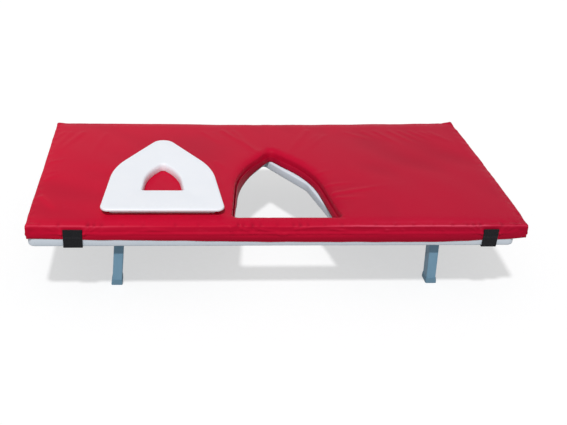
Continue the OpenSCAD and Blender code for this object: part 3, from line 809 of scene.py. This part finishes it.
points = point_rows(cover_mesh)
gap = well_distance(points)
from_end = mat_half_x - np.abs(points[:, 0] - mat_mid_x)
near_side = (points[:, 1] < fine_front) | (from_end < fine_rim) | (points[:, 1] > mat_half_y - fine_rim)
fine_point = (near_side & (points[:, 2] > fine_side)) | ((gap < fine_rim) & (points[:, 2] > fine_lip))
fine = [e for e in work.edges if all(fine_point[v.index] for v in e.verts)]
bmesh.ops.subdivide_edges(work, edges=fine, cuts=1, use_grid_fill=True)
work.to_mesh(cover_mesh)
work.free()
points = point_rows(cover_mesh)
gap = well_distance(points)
eased_where(cover, (points[:, 1] < fine_front + 5 * MM) | (gap < fine_rim * 1.2), 2)

# The foam's rounded rim is drawn out to the box cover's tighter seams, and its corners to points.
points = point_rows(cover_mesh)
core_r, seam_power = 16 * MM, 6.0
reach_x = np.abs(points[:, 0] - mat_mid_x).max()
low_y, high_y = points[:, 1].min(), points[:, 1].max()
points[:, 0] = mat_mid_x + (points[:, 0] - mat_mid_x) * mat_half_x / reach_x
points[:, 1] = (points[:, 1] - (low_y + high_y) / 2) * 2 * -board_low.y / (high_y - low_y)
side_x = np.sign(points[:, 0] - mat_mid_x)
core_x, core_y, core_z = mat_half_x - core_r, -board_low.y - core_r, mat_top - core_r
parts = np.stack([np.maximum(np.abs(points[:, 0] - mat_mid_x) - core_x, 0),
                  np.maximum(np.abs(points[:, 1]) - core_y, 0),
                  np.maximum(points[:, 2] - core_z, 0)], 1) / core_r
outer = (parts[:, 0] > 0) | (parts[:, 1] > 0)
round_size = np.sqrt((parts ** 2).sum(1))
seam_size = ((parts ** seam_power).sum(1)) ** (1 / seam_power)
stretch = np.where(outer & (seam_size > 0), round_size / np.maximum(seam_size, 1e-6), 1.0)
strength = ramp(round_size, 0.75, 0.95)
tight = by_stops(points[:, 0], (-0.62, 1), (-0.54, 0.7), (-0.45, 0.4), (0.05, 0.4), (0.2, 1), (0.62, 1))
strength *= np.where((points[:, 1] < 0) & (parts[:, 0] == 0), tight, 1)
stretch = 1 + (stretch - 1) * strength
grown = parts * stretch[:, None] - parts
points[:, 0] += side_x * grown[:, 0] * core_r
points[:, 1] += np.sign(points[:, 1]) * grown[:, 1] * core_r
points[:, 2] += np.where(outer, grown[:, 2], 0) * core_r

# Low on the front and back the sides stand out to the seam, and the ends swell in their middle.
depth = -board_low.y - np.abs(points[:, 1])
low_side = (points[:, 2] > mat_z + 1 * MM) & (points[:, 2] < mat_z + 14 * MM)
points[:, 1] += np.sign(points[:, 1]) * np.where(low_side, depth * (1 - ramp(depth, 2.5 * MM, 7 * MM)), 0)
right_swell = by_stops(points[:, 1], (-0.305, -2), (-0.25, 5), (-0.18, 10.5), (-0.07, 15.5), (0.05, 17.5),
                       (0.18, 12), (0.285, 4), (0.305, 2))
left_swell = by_stops(points[:, 1], (-0.305, 1), (-0.25, 5), (-0.18, 7), (-0.07, 8), (0.05, 7.5),
                      (0.18, 5.5), (0.285, 2), (0.305, 0.5))
near_end = ramp(np.abs(points[:, 0] - mat_mid_x), mat_half_x - 120 * MM, mat_half_x)
near_end *= 0.5 + 0.5 * np.clip((points[:, 2] - mat_z) / mat_h, 0, 1)
points[:, 0] += MM * near_end * np.where(side_x > 0, right_swell, -left_swell)
set_coordinates(cover_mesh, points)

# At the opening the cover rolls down over the foam, most at the back, where it is pulled hardest.
points = point_rows(cover_mesh)
gap = well_distance(points)
well_back = points[:, 1] - well_y
rolled = np.where(points[:, 0] < well_x, ramp(well_back, 90 * MM, 190 * MM),
                  ramp(well_back, 5 * MM, 50 * MM))
near = np.clip(1 - gap / lip_w, 0, 1)
rim_height = mat_h - lip_fall * rolled * (1 - np.sqrt(1 - near ** 2))
points[:, 2] = np.where(points[:, 2] > mat_z, mat_z + (points[:, 2] - mat_z) * rim_height / mat_h,
                        points[:, 2])
set_coordinates(cover_mesh, points)
eased_where(cover, (gap < lip_w * 1.1) & (rolled > 0.1), 3)


def ridges(across, up, base, spread, rows):
    """Soft ridges in the plane of two coordinates, the second from a base. A row is a ridge's start, then
    its angle in degrees, length, height and width. Spread is how much wider it is at its far end."""
    total = np.zeros(len(across))
    for a, b, degrees, length, height, width in rows:
        angle, length, width = math.radians(degrees), length * MM, width * MM
        from_a, from_b = across - a * MM, up - base - b * MM
        run = from_a * math.cos(angle) + from_b * math.sin(angle)
        off = from_b * math.cos(angle) - from_a * math.sin(angle)
        wide = width * (1 + spread * np.clip(run, 0, length) / length)
        ends = ramp(run, -width, width) * (1 - ramp(run, length * 0.3, length))
        total += height * MM * np.exp(-(off / wide) ** 2) * ends
    return total


strap_spans = [(low.x, high.x) for (side, end), (low, high) in strap_boxes.items() if end == "front"]
points = point_rows(cover_mesh)
out = point_rows(cover_mesh, "normal")
x, y, z = points.T
gap = well_distance(points)
upward = ramp(out[:, 2], 0.3, 0.9) * (z > mat_top - 22 * MM)
frontward = ramp(-out[:, 1], 0.2, 0.8) * (y < fine_front)
lift = np.zeros(len(points))

# Ridges on top: a few from the opening's apex, then those that run in from the back and the ends.
lift += upward * ridges(x, y, 0, 1.5, (
    (-4, 66, 150, 60, 0.78, 4), (-4, 66, 122, 80, 1.17, 4), (-4, 66, 100, 60, 1.43, 4),
    (-4, 66, 84, 60, 1.3, 4), (-4, 66, 52, 70, 1.04, 4)))
lift += upward * ridges(x, y, 0, 0.6, (
    (-590, 232, -120, 100, 0.84, 6), (-573, 232, -106, 180, 0.98, 7), (-535, 232, -114, 190, 1.26, 8),
    (-467, 225, -102, 190, 0.84, 8), (-616, 21, 28, 70, 0.98, 6), (-611, -78, 49, 70, 0.98, 6),
    (-608, -159, -57, 110, 1.26, 7), (-617, -40, 20, 60, 0.7, 5), (-178, 240, -55, 150, 0.98, 7),
    (-150, 236, -56, 130, 0.7, 6), (-117, 250, -57, 260, 1.54, 7), (-82, 245, -69, 190, 1.12, 7),
    (149, 250, -116, 220, 1.4, 8), (175, 215, -120, 90, 0.84, 6), (200, 215, -125, 180, 1.12, 7),
    (119, -45, 30, 80, 0.84, 5), (141, -102, 11, 100, 0.98, 5), (151, -148, 16, 200, 1.54, 6),
    (158, -170, 4, 100, 0.98, 6), (263, 235, -34, 120, 0.84, 7), (320, 245, -50, 110, 0.84, 7),
    (359, 245, -58, 140, 1.26, 7), (402, 248, -55, 140, 1.26, 7), (437, 248, -53, 120, 1.12, 7),
    (470, 246, -50, 110, 1.12, 7), (500, 240, -48, 100, 0.98, 6), (528, 235, -54, 110, 1.12, 6),
    (-150, -60, -75, 110, 0.84, 6), (-138, -130, -95, 90, 0.98, 5), (-146, 40, -60, 90, 0.84, 6)))

# The cover's end seams draw small puckers in at their stitches.
from_seam = mat_half_x - np.abs(x - mat_mid_x)
seam_wave = np.sin(y / (5.5 * MM) + np.sin(y / (37 * MM)))
lift += 0.25 * MM * upward * seam_wave * (1 - ramp(from_seam, 4 * MM, 24 * MM))

# Slack in the cover: waves at the right, a fan at the back, a slant at the left, and broad hollows.
wave = np.sin((x * 0.9 + y * 0.5) / (24 * MM) + 2 * np.sin(y / (90 * MM)))
wave += 0.6 * np.sin((x * 0.3 - y) / (31 * MM) + 1.3)
lift += 0.3 * MM * upward * wave * ramp(x, 0.16, 0.32)
fan = np.sin((x * 0.95 + y * 0.35) / (17 * MM) + 1.5 * np.sin(x / (140 * MM)))
lift += 0.25 * MM * upward * fan * ramp(y, 0.12, 0.28) * ramp(x, -0.25, 0.1)
diagonal = np.sin((x * 0.6 + y) / (22 * MM) + 0.8 * np.sin((x - y) / (100 * MM)))
lift += 0.25 * MM * upward * diagonal * (1 - ramp(x, -0.45, -0.25))
broad = np.sin(x / (110 * MM) + 0.7) * np.sin(y / (86 * MM) + 0.4)
lift += 0.8 * MM * upward * broad

# Puckers across the front crease, each with its place, depth and width, and folds along the front side.
crease_y, pucker = board_low.y + 5 * MM, 1.15 * MM
across_crease = np.exp(-(((y - crease_y) / (13 * MM)) ** 2) - ((z - mat_top) / (15 * MM)) ** 2)
for place, depth, width in (
        (-0.590, 0.8, 4), (-0.545, 1.3, 4), (-0.474, 2.4, 4.5), (-0.459, 1.6, 4), (-0.441, 1.2, 5),
        (-0.390, 0.9, 5), (-0.340, 0.8, 6), (-0.262, 1.0, 5), (-0.205, 0.8, 5), (-0.108, 1.9, 4.5),
        (-0.094, 1.4, 4), (-0.072, 2.1, 5), (-0.052, 1.2, 4), (-0.010, 0.9, 5), (0.030, 1.5, 4.5),
        (0.047, 2.2, 5), (0.066, 1.5, 4), (0.108, 1.0, 5), (0.150, 1.0, 6), (0.236, 0.9, 5),
        (0.285, 0.8, 5), (0.331, 1.2, 6), (0.380, 0.8, 5), (0.430, 1.1, 5), (0.466, 1.0, 5),
        (0.484, 1.7, 5), (0.500, 2.0, 4.5), (0.556, 1.6, 5), (0.590, 1.0, 5)):
    lift -= depth * pucker * across_crease * np.exp(-((x - place) / (width * MM)) ** 2)
lift += frontward * ridges(x, z, mat_z, 0.8, (
    (-128, 30, -75, 30, 2, 3.2), (-105, 26, -20, 60, 1.2, 3.2), (-60, 24, -12, 90, 1.4, 3.2),
    (30, 22, 8, 110, 1.2, 3.2), (120, 24, -10, 120, 1.2, 3.2), (210, 12, 6, 110, 1, 3.2),
    (255, 26, -42, 30, 1, 3.2), (300, 24, -50, 30, 1.1, 3.2), (350, 26, -55, 30, 0.9, 3.2),
    (400, 24, -40, 34, 1, 3.2), (-380, 14, 5, 120, 1, 3.2), (-330, 24, -8, 110, 0.9, 3.2)))

# Folds fan out from each strap, and between the straps the side bellies out.
fan_folds = ((80, 26, 1.8), (56, 40, 2.0), (32, 56, 1.6), (12, 60, 1.0))
for low_x, high_x in strap_spans:
    lift += frontward * ridges(x, z, mat_z, 1.2, [
        (edge_x / MM + away * 2, 8, degrees if away > 0 else 180 - degrees, length, height, 2.6)
        for edge_x, away in ((low_x, -1), (high_x, 1)) for degrees, length, height in fan_folds])
clear = np.ones(len(points))
for low_x, high_x in strap_spans:
    middle, half = (low_x + high_x) / 2, (high_x - low_x) / 2
    clear *= ramp(np.abs(x - middle), half + 4 * MM, half + 45 * MM)
height_share = np.clip((z - mat_z) / mat_h, 0, 1)
scallop = 0.5 * np.sin(x / (38 * MM) + 0.6) + 0.3 * np.sin(x / (23 * MM) + 2.1)
belly = (0.9 + scallop) * (1 - height_share) + 0.7 * np.sin(math.pi * height_share)
lift += belly * MM * frontward * clear
points = points + out * lift[:, None]

# The top drops a little at the back's left and the front's middle, and rises at the right back corner.
height_share = np.clip((points[:, 2] - mat_z) / mat_h, 0, 1)
back_lift = by_stops(x, (-0.6225, -3.5), (-0.40, -4), (0.07, -2), (0.46, 1), (0.594, 4.5), (0.6225, 7))
points[:, 2] += back_lift * MM * height_share * ramp(y, 0.0, -board_low.y)
front_lift = by_stops(x, (-0.6225, 0), (-0.3, -1.2), (0.0, -2.2), (0.3, -1.8), (0.6225, 0))
points[:, 2] += front_lift * MM * height_share * ramp(-y, 0.26, -board_low.y)
corner_peak = ramp(x - mat_mid_x, mat_half_x - 30 * MM, mat_half_x) * ramp(y, 0.275, 0.305)
points[:, 2] += 1.5 * MM * corner_peak * height_share
set_coordinates(cover_mesh, points)
smooth(cover_mesh, 180)

# A painted highlight pales the front crease where it faces up and forward, most towards the right. Deep
# folds get painted shade.
out = point_rows(cover_mesh, "normal")
highlight_along = by_stops(x, (-0.62, 0.3), (-0.54, 0.4), (-0.46, 0.3), (-0.3, 0.0), (0.0, 0.0), (0.12, 0.3),
                   (0.22, 1.0), (0.5, 1.0), (0.53, 0.3), (0.62, 0.3))
on_crease = np.clip(-2 * out[:, 1] * out[:, 2], 0, 1) ** 3 * (points[:, 1] < fine_front)
worn = on_crease * (height_share > 0.6) * highlight_along


def set_shares(mesh, name, shares):
    """Gives each point of a mesh a share from 0 to 1 that its material reads."""
    attribute = mesh.attributes.new(name, "FLOAT", "POINT")
    attribute.data.foreach_set("value", shares.astype(np.float32))


set_shares(cover_mesh, "worn", worn)
set_shares(cover_mesh, "deep", np.clip(-lift / (3 * MM), 0, 1))
fitted(cover, "mat", "vinyl", "mat_cover", "mat_foam")
repaint(red_vinyl("vinyl_underside", (96, 10, 28), (110, 14, 34)), "mat_base")

# A strip edges the cover inside the opening, its darker red painted shade on the opening's wall, darkest
# at its lower edge. It lies on the board on the right, and on the left, where the mat has crept over the
# board's opening, it hangs down inside it.
strip_up, strip_thick, strip_step = 15 * MM, 1.4 * MM, 5 * MM
strip_low = board_low.z + 9 * MM


def resampled(line, step):
    """A closed line of points, evenly spaced about a step apart."""
    closed = np.vstack([line, line[:1]])
    along = np.concatenate([[0], np.cumsum(np.linalg.norm(np.diff(closed, axis=0), axis=1))])
    at = np.linspace(0, along[-1], round(along[-1] / step), endpoint=False)
    return np.stack([np.interp(at, along, closed[:, k]) for k in (0, 1)], axis=1)


def strip_section(place, inward):
    """Points round the strip at one place of the opening's outline."""
    right_of, back_of = place[0] - well_x, place[1] - well_y
    hanging = (1 - ramp(right_of, -120 * MM, -4 * MM)) * ramp(back_of, 60 * MM, 150 * MM)
    resting = ramp(right_of, 5 * MM, 40 * MM) * ramp(back_of, 5 * MM, 40 * MM)
    low = mat_z + 0.4 * MM + hanging * (strip_low - mat_z)
    reach = (0.4 + 3.4 * resting + 2.0 * hanging) * MM
    high = mat_z + strip_up
    outer = [(-1.2 * MM + (reach + 1.2 * MM) * k / 5, high + (low + 0.6 * MM - high) * (k / 5) ** 1.4)
             for k in range(6)]
    ring = outer + [(reach - 0.3 * MM, low), (reach - strip_thick + 0.3 * MM, low),
                    (reach - strip_thick, low + 0.6 * MM), (-2.6 * MM, high)]
    return np.array([(place[0] + inward[0] * o, place[1] + inward[1] * o, h) for o, h in ring])


strip_line = resampled(well_line, strip_step)
heading = np.roll(strip_line, -1, axis=0) - np.roll(strip_line, 1, axis=0)
inward = np.stack([-heading[:, 1], heading[:, 0]], axis=1) / np.linalg.norm(heading, axis=1)[:, None]
middle = strip_line.mean(axis=0)
inward *= np.sign(((middle - strip_line) * inward).sum(axis=1).sum())
strip_mesh = ring_mesh("mat_opening_strip", [strip_section(*entry) for entry in zip(strip_line, inward)])
smooth(strip_mesh, 60)
# The strip's darker red and its darkest lower edge are painted shade.
set_shares(strip_mesh, "deep", np.tile([0, 0, 0, 0, 0.2, 0.9, 1, 1, 1, 0], len(strip_line)))
strip = new_object("mat_opening_strip", strip_mesh, red_vinyl("strip_vinyl", (162, 16, 46), (180, 18, 50)))
fitted(strip, "mat", "vinyl")


# Hem of the mat
# The cover's lower edge is turned under and stitched. It hangs a little below the foam, over the board's
# edge, lowest in the middle of the front where the vinyl has stretched.
hem_top, hem_gap, hem_t, hem_bead, hem_step = 6 * MM, 0.35 * MM, 1.0 * MM, 2.0 * MM, 6 * MM
front_drop = [(-622, 1), (-540, 3), (-480, 5), (-270, 8), (-50, 12), (150, 13), (370, 13.5), (470, 11),
              (510, 7), (550, 6.5), (596, 4), (622, 1)]
other_drop = 2 * MM
probe = 30 * MM
half_y = -board_low.y
mat_corner_r = 5 * MM
surface = BVHTree.FromPolygons([tuple(p) for p in points], [tuple(f.vertices) for f in cover_mesh.polygons])


def hem_line(step):
    """The mat's outline as pairs of place and outward, anticlockwise from the front's left end."""
    line = []
    reach_x, reach_y = mat_half_x - mat_corner_r, half_y - mat_corner_r
    for k in range(4):
        turn = math.pi / 2 * k
        facing = Vector((math.sin(turn), -math.cos(turn)))
        side_on = Vector((math.cos(turn), math.sin(turn)))
        long, far = (reach_x, half_y) if k % 2 == 0 else (reach_y, mat_half_x)
        count = round(2 * long / step)
        for i in range(count + 1):
            line.append((facing * far + side_on * (-long + 2 * long * i / count), facing))
        corner = facing * (far - mat_corner_r) + side_on * long
        for i in range(1, 5):
            bend = turn + math.pi / 2 * i / 5
            around = Vector((math.sin(bend), -math.cos(bend)))
            line.append((corner + around * mat_corner_r, around))
    return [(p + Vector((mat_mid_x, 0)), n) for p, n in line]


def hem_section(place, facing):
    """Points of the hem's cross-section at one place, from its tucked top down the outside and back up."""
    on_front = facing.y < -1 + tolerance
    drop = by_stops(place.x / MM, *front_drop) * MM if on_front else other_drop
    drop += 0.5 * MM * math.sin(place.x / (17 * MM)) * math.sin(place.x / (71 * MM) + place.y / (40 * MM))
    origin = Vector((place.x + facing.x * probe, place.y + facing.y * probe, mat_z + hem_top))
    hit = surface.ray_cast(origin, Vector((-facing.x, -facing.y, 0)), 2 * probe)[0]
    top_out = 0.0 if hit is None else (Vector((hit.x, hit.y)) - place).dot(facing)
    inner, outer = hem_gap, max(hem_gap + hem_t, top_out + 0.1 * MM)
    low = mat_z - drop
    section = [(top_out + 0.05 * MM, mat_z + hem_top), (outer, mat_z + hem_top * 0.5),
               (outer, mat_z - 0.4 * MM), (outer, low + hem_bead + 0.5 * MM),
               (outer - 0.35 * MM, low + hem_bead), (outer + 0.1 * MM, low + hem_bead - 0.5 * MM),
               (outer + 0.1 * MM, low + 0.5 * MM), (outer - 0.4 * MM, low), (inner + 0.3 * MM, low),
               (inner, low + 0.4 * MM), (inner, mat_z - 0.4 * MM), (inner - 0.6 * MM, mat_z + 1.5 * MM),
               (min(top_out, inner) - 1.2 * MM, mat_z + hem_top)]
    return np.array([(place.x + facing.x * o, place.y + facing.y * o, h) for o, h in section])


hem_sections = [hem_section(*entry) for entry in hem_line(hem_step)]
hem_mesh = ring_mesh("mat_hem", hem_sections)
smooth(hem_mesh, 50)
hem = new_object("mat_hem", hem_mesh, red_vinyl("hem_vinyl", (160, 13, 44), (192, 16, 48)))
fitted(hem, "mat", "vinyl")


def thread(name, tone):
    """Twisted polyester thread."""
    material, start, place = start_material(name)
    twist = speckle(start, place, 2500, detail=1)
    close_material(start, Base_Color=start.mix(twist, colour(*(v * 0.8 for v in tone)), colour(*tone)),
                   Roughness=twist * 0.2 + 0.5, Normal=bump(start, twist, 0.1 * MM), Specular_IOR_Level=0.2)
    return material


stitch_size = (2.6 * MM, 0.6 * MM, 0.6 * MM)
stitch_pitch = 4 * MM
hem_seam = [section[4] for section in hem_sections]
count = len(hem_seam)
red_thread = thread("red_thread", (150, 34, 56))
hem_stitches = grow("mat_hem_stitches", hem_seam, [(k, (k + 1) % count) for k in range(count)], bead_tree,
                    red_thread, Pitch=stitch_pitch, Size=stitch_size)
fitted(hem_stitches, "mat", "vinyl")


# Zip
# A nylon coil zip along the mat's back lets the foam out for washing. The tape is sewn to the cover along
# both its edges, and the slider is cast zinc with a pierced tab.
tape_low, tape_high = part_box("mat_zip")
coil_mid = (tape_low.z + tape_high.z) / 2
tape_t, coil_h = 0.6 * MM, 5 * MM
coil_pitch, coil_size = 1.6 * MM, (1.3 * MM, 1.1 * MM, coil_h)
soft_gap = 0.3 * MM
mat_draw = 3.5 * MM


def back_y(x):
    """The mat's back side at a place along it, drawn in between its corners."""
    return half_y - mat_draw * math.cos(math.pi * (x - mat_mid_x) / (2 * (mat_half_x - mat_corner_r)))


def cloth_tape(name, dark, pale):
    """Woven tape: fine ribs across a faint weave."""
    material, start, place = start_material(name)
    axes = start.node("ShaderNodeSeparateXYZ", {}, {"Vector": place})
    ribs = start.math("SINE", axes * (2 * math.pi / (0.8 * MM)))
    fibres = speckle(start, place, 1200, detail=2)
    close_material(start, Base_Color=start.mix(fibres, colour(*dark), colour(*pale)),
                   Roughness=fibres * 0.1 + 0.7, Normal=bump(start, ribs * 0.5 + fibres, 0.08 * MM),
                   Specular_IOR_Level=0.1)
    return material


tape_sections = []
tape_count = 110
for k in range(tape_count + 1):
    x_at = tape_low.x + (tape_high.x - tape_low.x) * k / tape_count
    inner_y = back_y(x_at) + soft_gap
    outer_y = inner_y + tape_t
    shape = [(inner_y, tape_low.z), (outer_y, tape_low.z + 0.2 * MM), (outer_y, coil_mid - coil_h * 0.7),
             (outer_y + 0.5 * MM, coil_mid - coil_h * 0.45), (outer_y + 0.5 * MM, coil_mid + coil_h * 0.45),
             (outer_y, coil_mid + coil_h * 0.7), (outer_y, tape_high.z - 0.2 * MM), (inner_y, tape_high.z)]
    tape_sections.append(np.array([(x_at, y_at, z_at) for y_at, z_at in shape]))
tape_mesh = ring_mesh("zip_tape", tape_sections, closed=False)
smooth(tape_mesh)
tape = new_object("zip_tape", tape_mesh, cloth_tape("zip_tape", (104, 16, 32), (122, 22, 40)))
fitted(tape, "mat", "zip_tape", "mat_zip")


def back_line(inset, z, out):
    """Points and edges of a line along the zip, at a height and so far out from the tape's back."""
    count = 60
    xs = np.linspace(tape_low.x + inset, tape_high.x - inset, count)
    line = [(x_at, back_y(x_at) + soft_gap + out, z) for x_at in xs]
    return line, [(k, k + 1) for k in range(count - 1)]


coil_nylon = plastic("coil_nylon", (120, 24, 42), (138, 30, 50), (0.4, 0.15), **moulded)
line, edges = back_line(3 * MM, coil_mid, tape_t + 0.5 * MM)
coil = grow("zip_coil", line, edges, bead_tree, coil_nylon, Pitch=coil_pitch, Size=coil_size)
fitted(coil, "mat", "zip_tape")
for name, height in (("upper", tape_high.z - 2 * MM), ("lower", tape_low.z + 2 * MM)):
    line, edges = back_line(2 * MM, height, tape_t + 0.1 * MM)
    seam = grow(f"zip_stitches_{name}", line, edges, bead_tree, red_thread, Pitch=stitch_pitch,
                Size=stitch_size)
    fitted(seam, "mat", "zip_tape")

slider_zinc = bright_metal("zip_metal", (188, 190, 194), 0.28)
eased_copy("zip_slider", "zip_pull", 0.3 * MM, slider_zinc, "zipper", "zip_metal")


# Straps
# Four lengths of black hook webbing, clamped under the board by steel bars. Each folds up round the
# board's lower edge and presses onto a patch of loop that is sewn to the mat's side.
strap_t = 2 * MM
fold_r = 2.2 * MM
selvage = 0.7 * MM
weave_unit = 10 * MM
across_count, under_steps, bend_steps, rise_steps = 10, 12, 8, 14
tack_pitch, tack_size = 3.2 * MM, (2.4 * MM, 0.5 * MM, 0.5 * MM)


def hook_webbing():
    """Black webbing: a fine plain weave along the strap, with dull hooks that catch a little light."""
    material, start, place = start_material("hook_webbing")
    flat = start.node("ShaderNodeUVMap", {"uv_map": "weave"}, {})
    axes = [start.node("ShaderNodeSeparateXYZ", {}, {"Vector": flat}, k) for k in (0, 1)]
    warp = start.math("SINE", axes[0] * (2 * math.pi * weave_unit / (1.4 * MM)))
    weft = start.math("SINE", axes[1] * (2 * math.pi * weave_unit / (1.1 * MM)))
    fuzz = speckle(start, place, 1500, detail=3)
    height = warp * weft * 0.5 + fuzz
    lightness = start.math("MULTIPLY", start.math("MAXIMUM", warp * weft, 0.0), fuzz)
    close_material(start, Base_Color=start.mix(lightness, colour(24, 25, 28), colour(58, 58, 62)),
                   Roughness=fuzz * 0.1 + 0.75, Normal=bump(start, height, 0.25 * MM),
                   Specular_IOR_Level=0.15)
    return material


def strap_section(low_x, high_x, place, outward):
    """Points round the webbing at one place of its path, thinner at its woven edges."""
    inner_x, outer_x = low_x + selvage, high_x - selvage
    xs = np.linspace(inner_x, outer_x, across_count)
    half = strap_t / 2
    ring = [(v, half) for v in xs] + [(high_x, half * 0.4), (high_x, -half * 0.4)]
    ring += [(v, -half) for v in xs[::-1]] + [(low_x, -half * 0.4), (low_x, half * 0.4)]
    return np.array([(v, place[0] + outward[0] * o, place[1] + outward[1] * o) for v, o in ring])


webbing = hook_webbing()
black_thread = thread("black_thread", (74, 70, 76))
for side, end in CORNERS:
    low, high = strap_boxes[side, end]
    anchor_low, anchor_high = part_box(f"strap_anchor_{side}_{end}")
    sign = -1 if end == "front" else 1
    face_y = low.y + strap_t / 2 if end == "front" else high.y - strap_t / 2
    under_z = (anchor_low.z + anchor_high.z) / 2
    inner_y = anchor_high.y if end == "front" else anchor_low.y
    turn_y, turn_z = face_y - sign * fold_r, under_z + fold_r
    route = [((inner_y + (turn_y - inner_y) * k / under_steps, under_z), (0, -1))
             for k in range(under_steps)]
    for k in range(bend_steps + 1):
        a = math.pi / 2 * k / bend_steps
        away = (sign * math.sin(a), -math.cos(a))
        route.append(((turn_y + fold_r * away[0], turn_z + fold_r * away[1]), away))
    for k in range(1, rise_steps + 1):
        share = k / rise_steps
        tuck = 0.5 * MM * max(0, share - 0.8)
        route.append(((face_y - sign * tuck, turn_z + (high.z - turn_z) * share), (sign, 0)))
    rings = [strap_section(low.x, high.x, place, away) for place, away in route]
    mesh = ring_mesh(f"strap_{side}_{end}", rings, closed=False)
    smooth(mesh)
    lengths = [0.0]
    for (a, _), (b, _) in zip(route, route[1:]):
        lengths.append(lengths[-1] + math.dist(a, b))
    size = len(rings[0])
    layer = mesh.uv_layers.new(name="weave")
    for loop in mesh.loops:
        v = mesh.vertices[loop.vertex_index].co
        layer.data[loop.index].uv = (v.x / weave_unit, lengths[loop.vertex_index // size] / weave_unit)
    strap = new_object(f"strap_{side}_{end}", mesh, webbing)
    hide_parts(f"strap_anchor_{side}_{end}", f"strap_flap_{side}_{end}")
    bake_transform(strap)
    rows, edges = [], []
    for height in (mat_z + 1 * MM, mat_z + 4 * MM):
        base = len(rows)
        rows += [(x_at, face_y + sign * strap_t / 2, height) for x_at in (low.x + 3 * MM, high.x - 3 * MM)]
        edges.append((base, base + 1))
    seam = grow(f"strap_stitches_{side}_{end}", rows, edges, bead_tree, black_thread,
                Pitch=tack_pitch, Size=tack_size)
    fitted(seam, f"flap_{side}_{end}", "webbing")


def loop_pile():
    """Black brushed loops of the patches on the mat."""
    material, start, place = start_material("loop_pile")
    pile = speckle(start, place, 1800, detail=4, rough=0.7)
    close_material(start, Base_Color=start.mix(pile, colour(18, 18, 21), colour(52, 52, 56)),
                   Roughness=pile * 0.1 + 0.85, Normal=bump(start, pile, 0.5 * MM), Specular_IOR_Level=0.05)
    return material


repaint(loop_pile(), *("strap_patch_%s_%s" % corner for corner in CORNERS))
eased_copy("strap_clamp_bars", "strap_bars", 0.5 * MM, bracket_coat, "board", "bracket_steel")
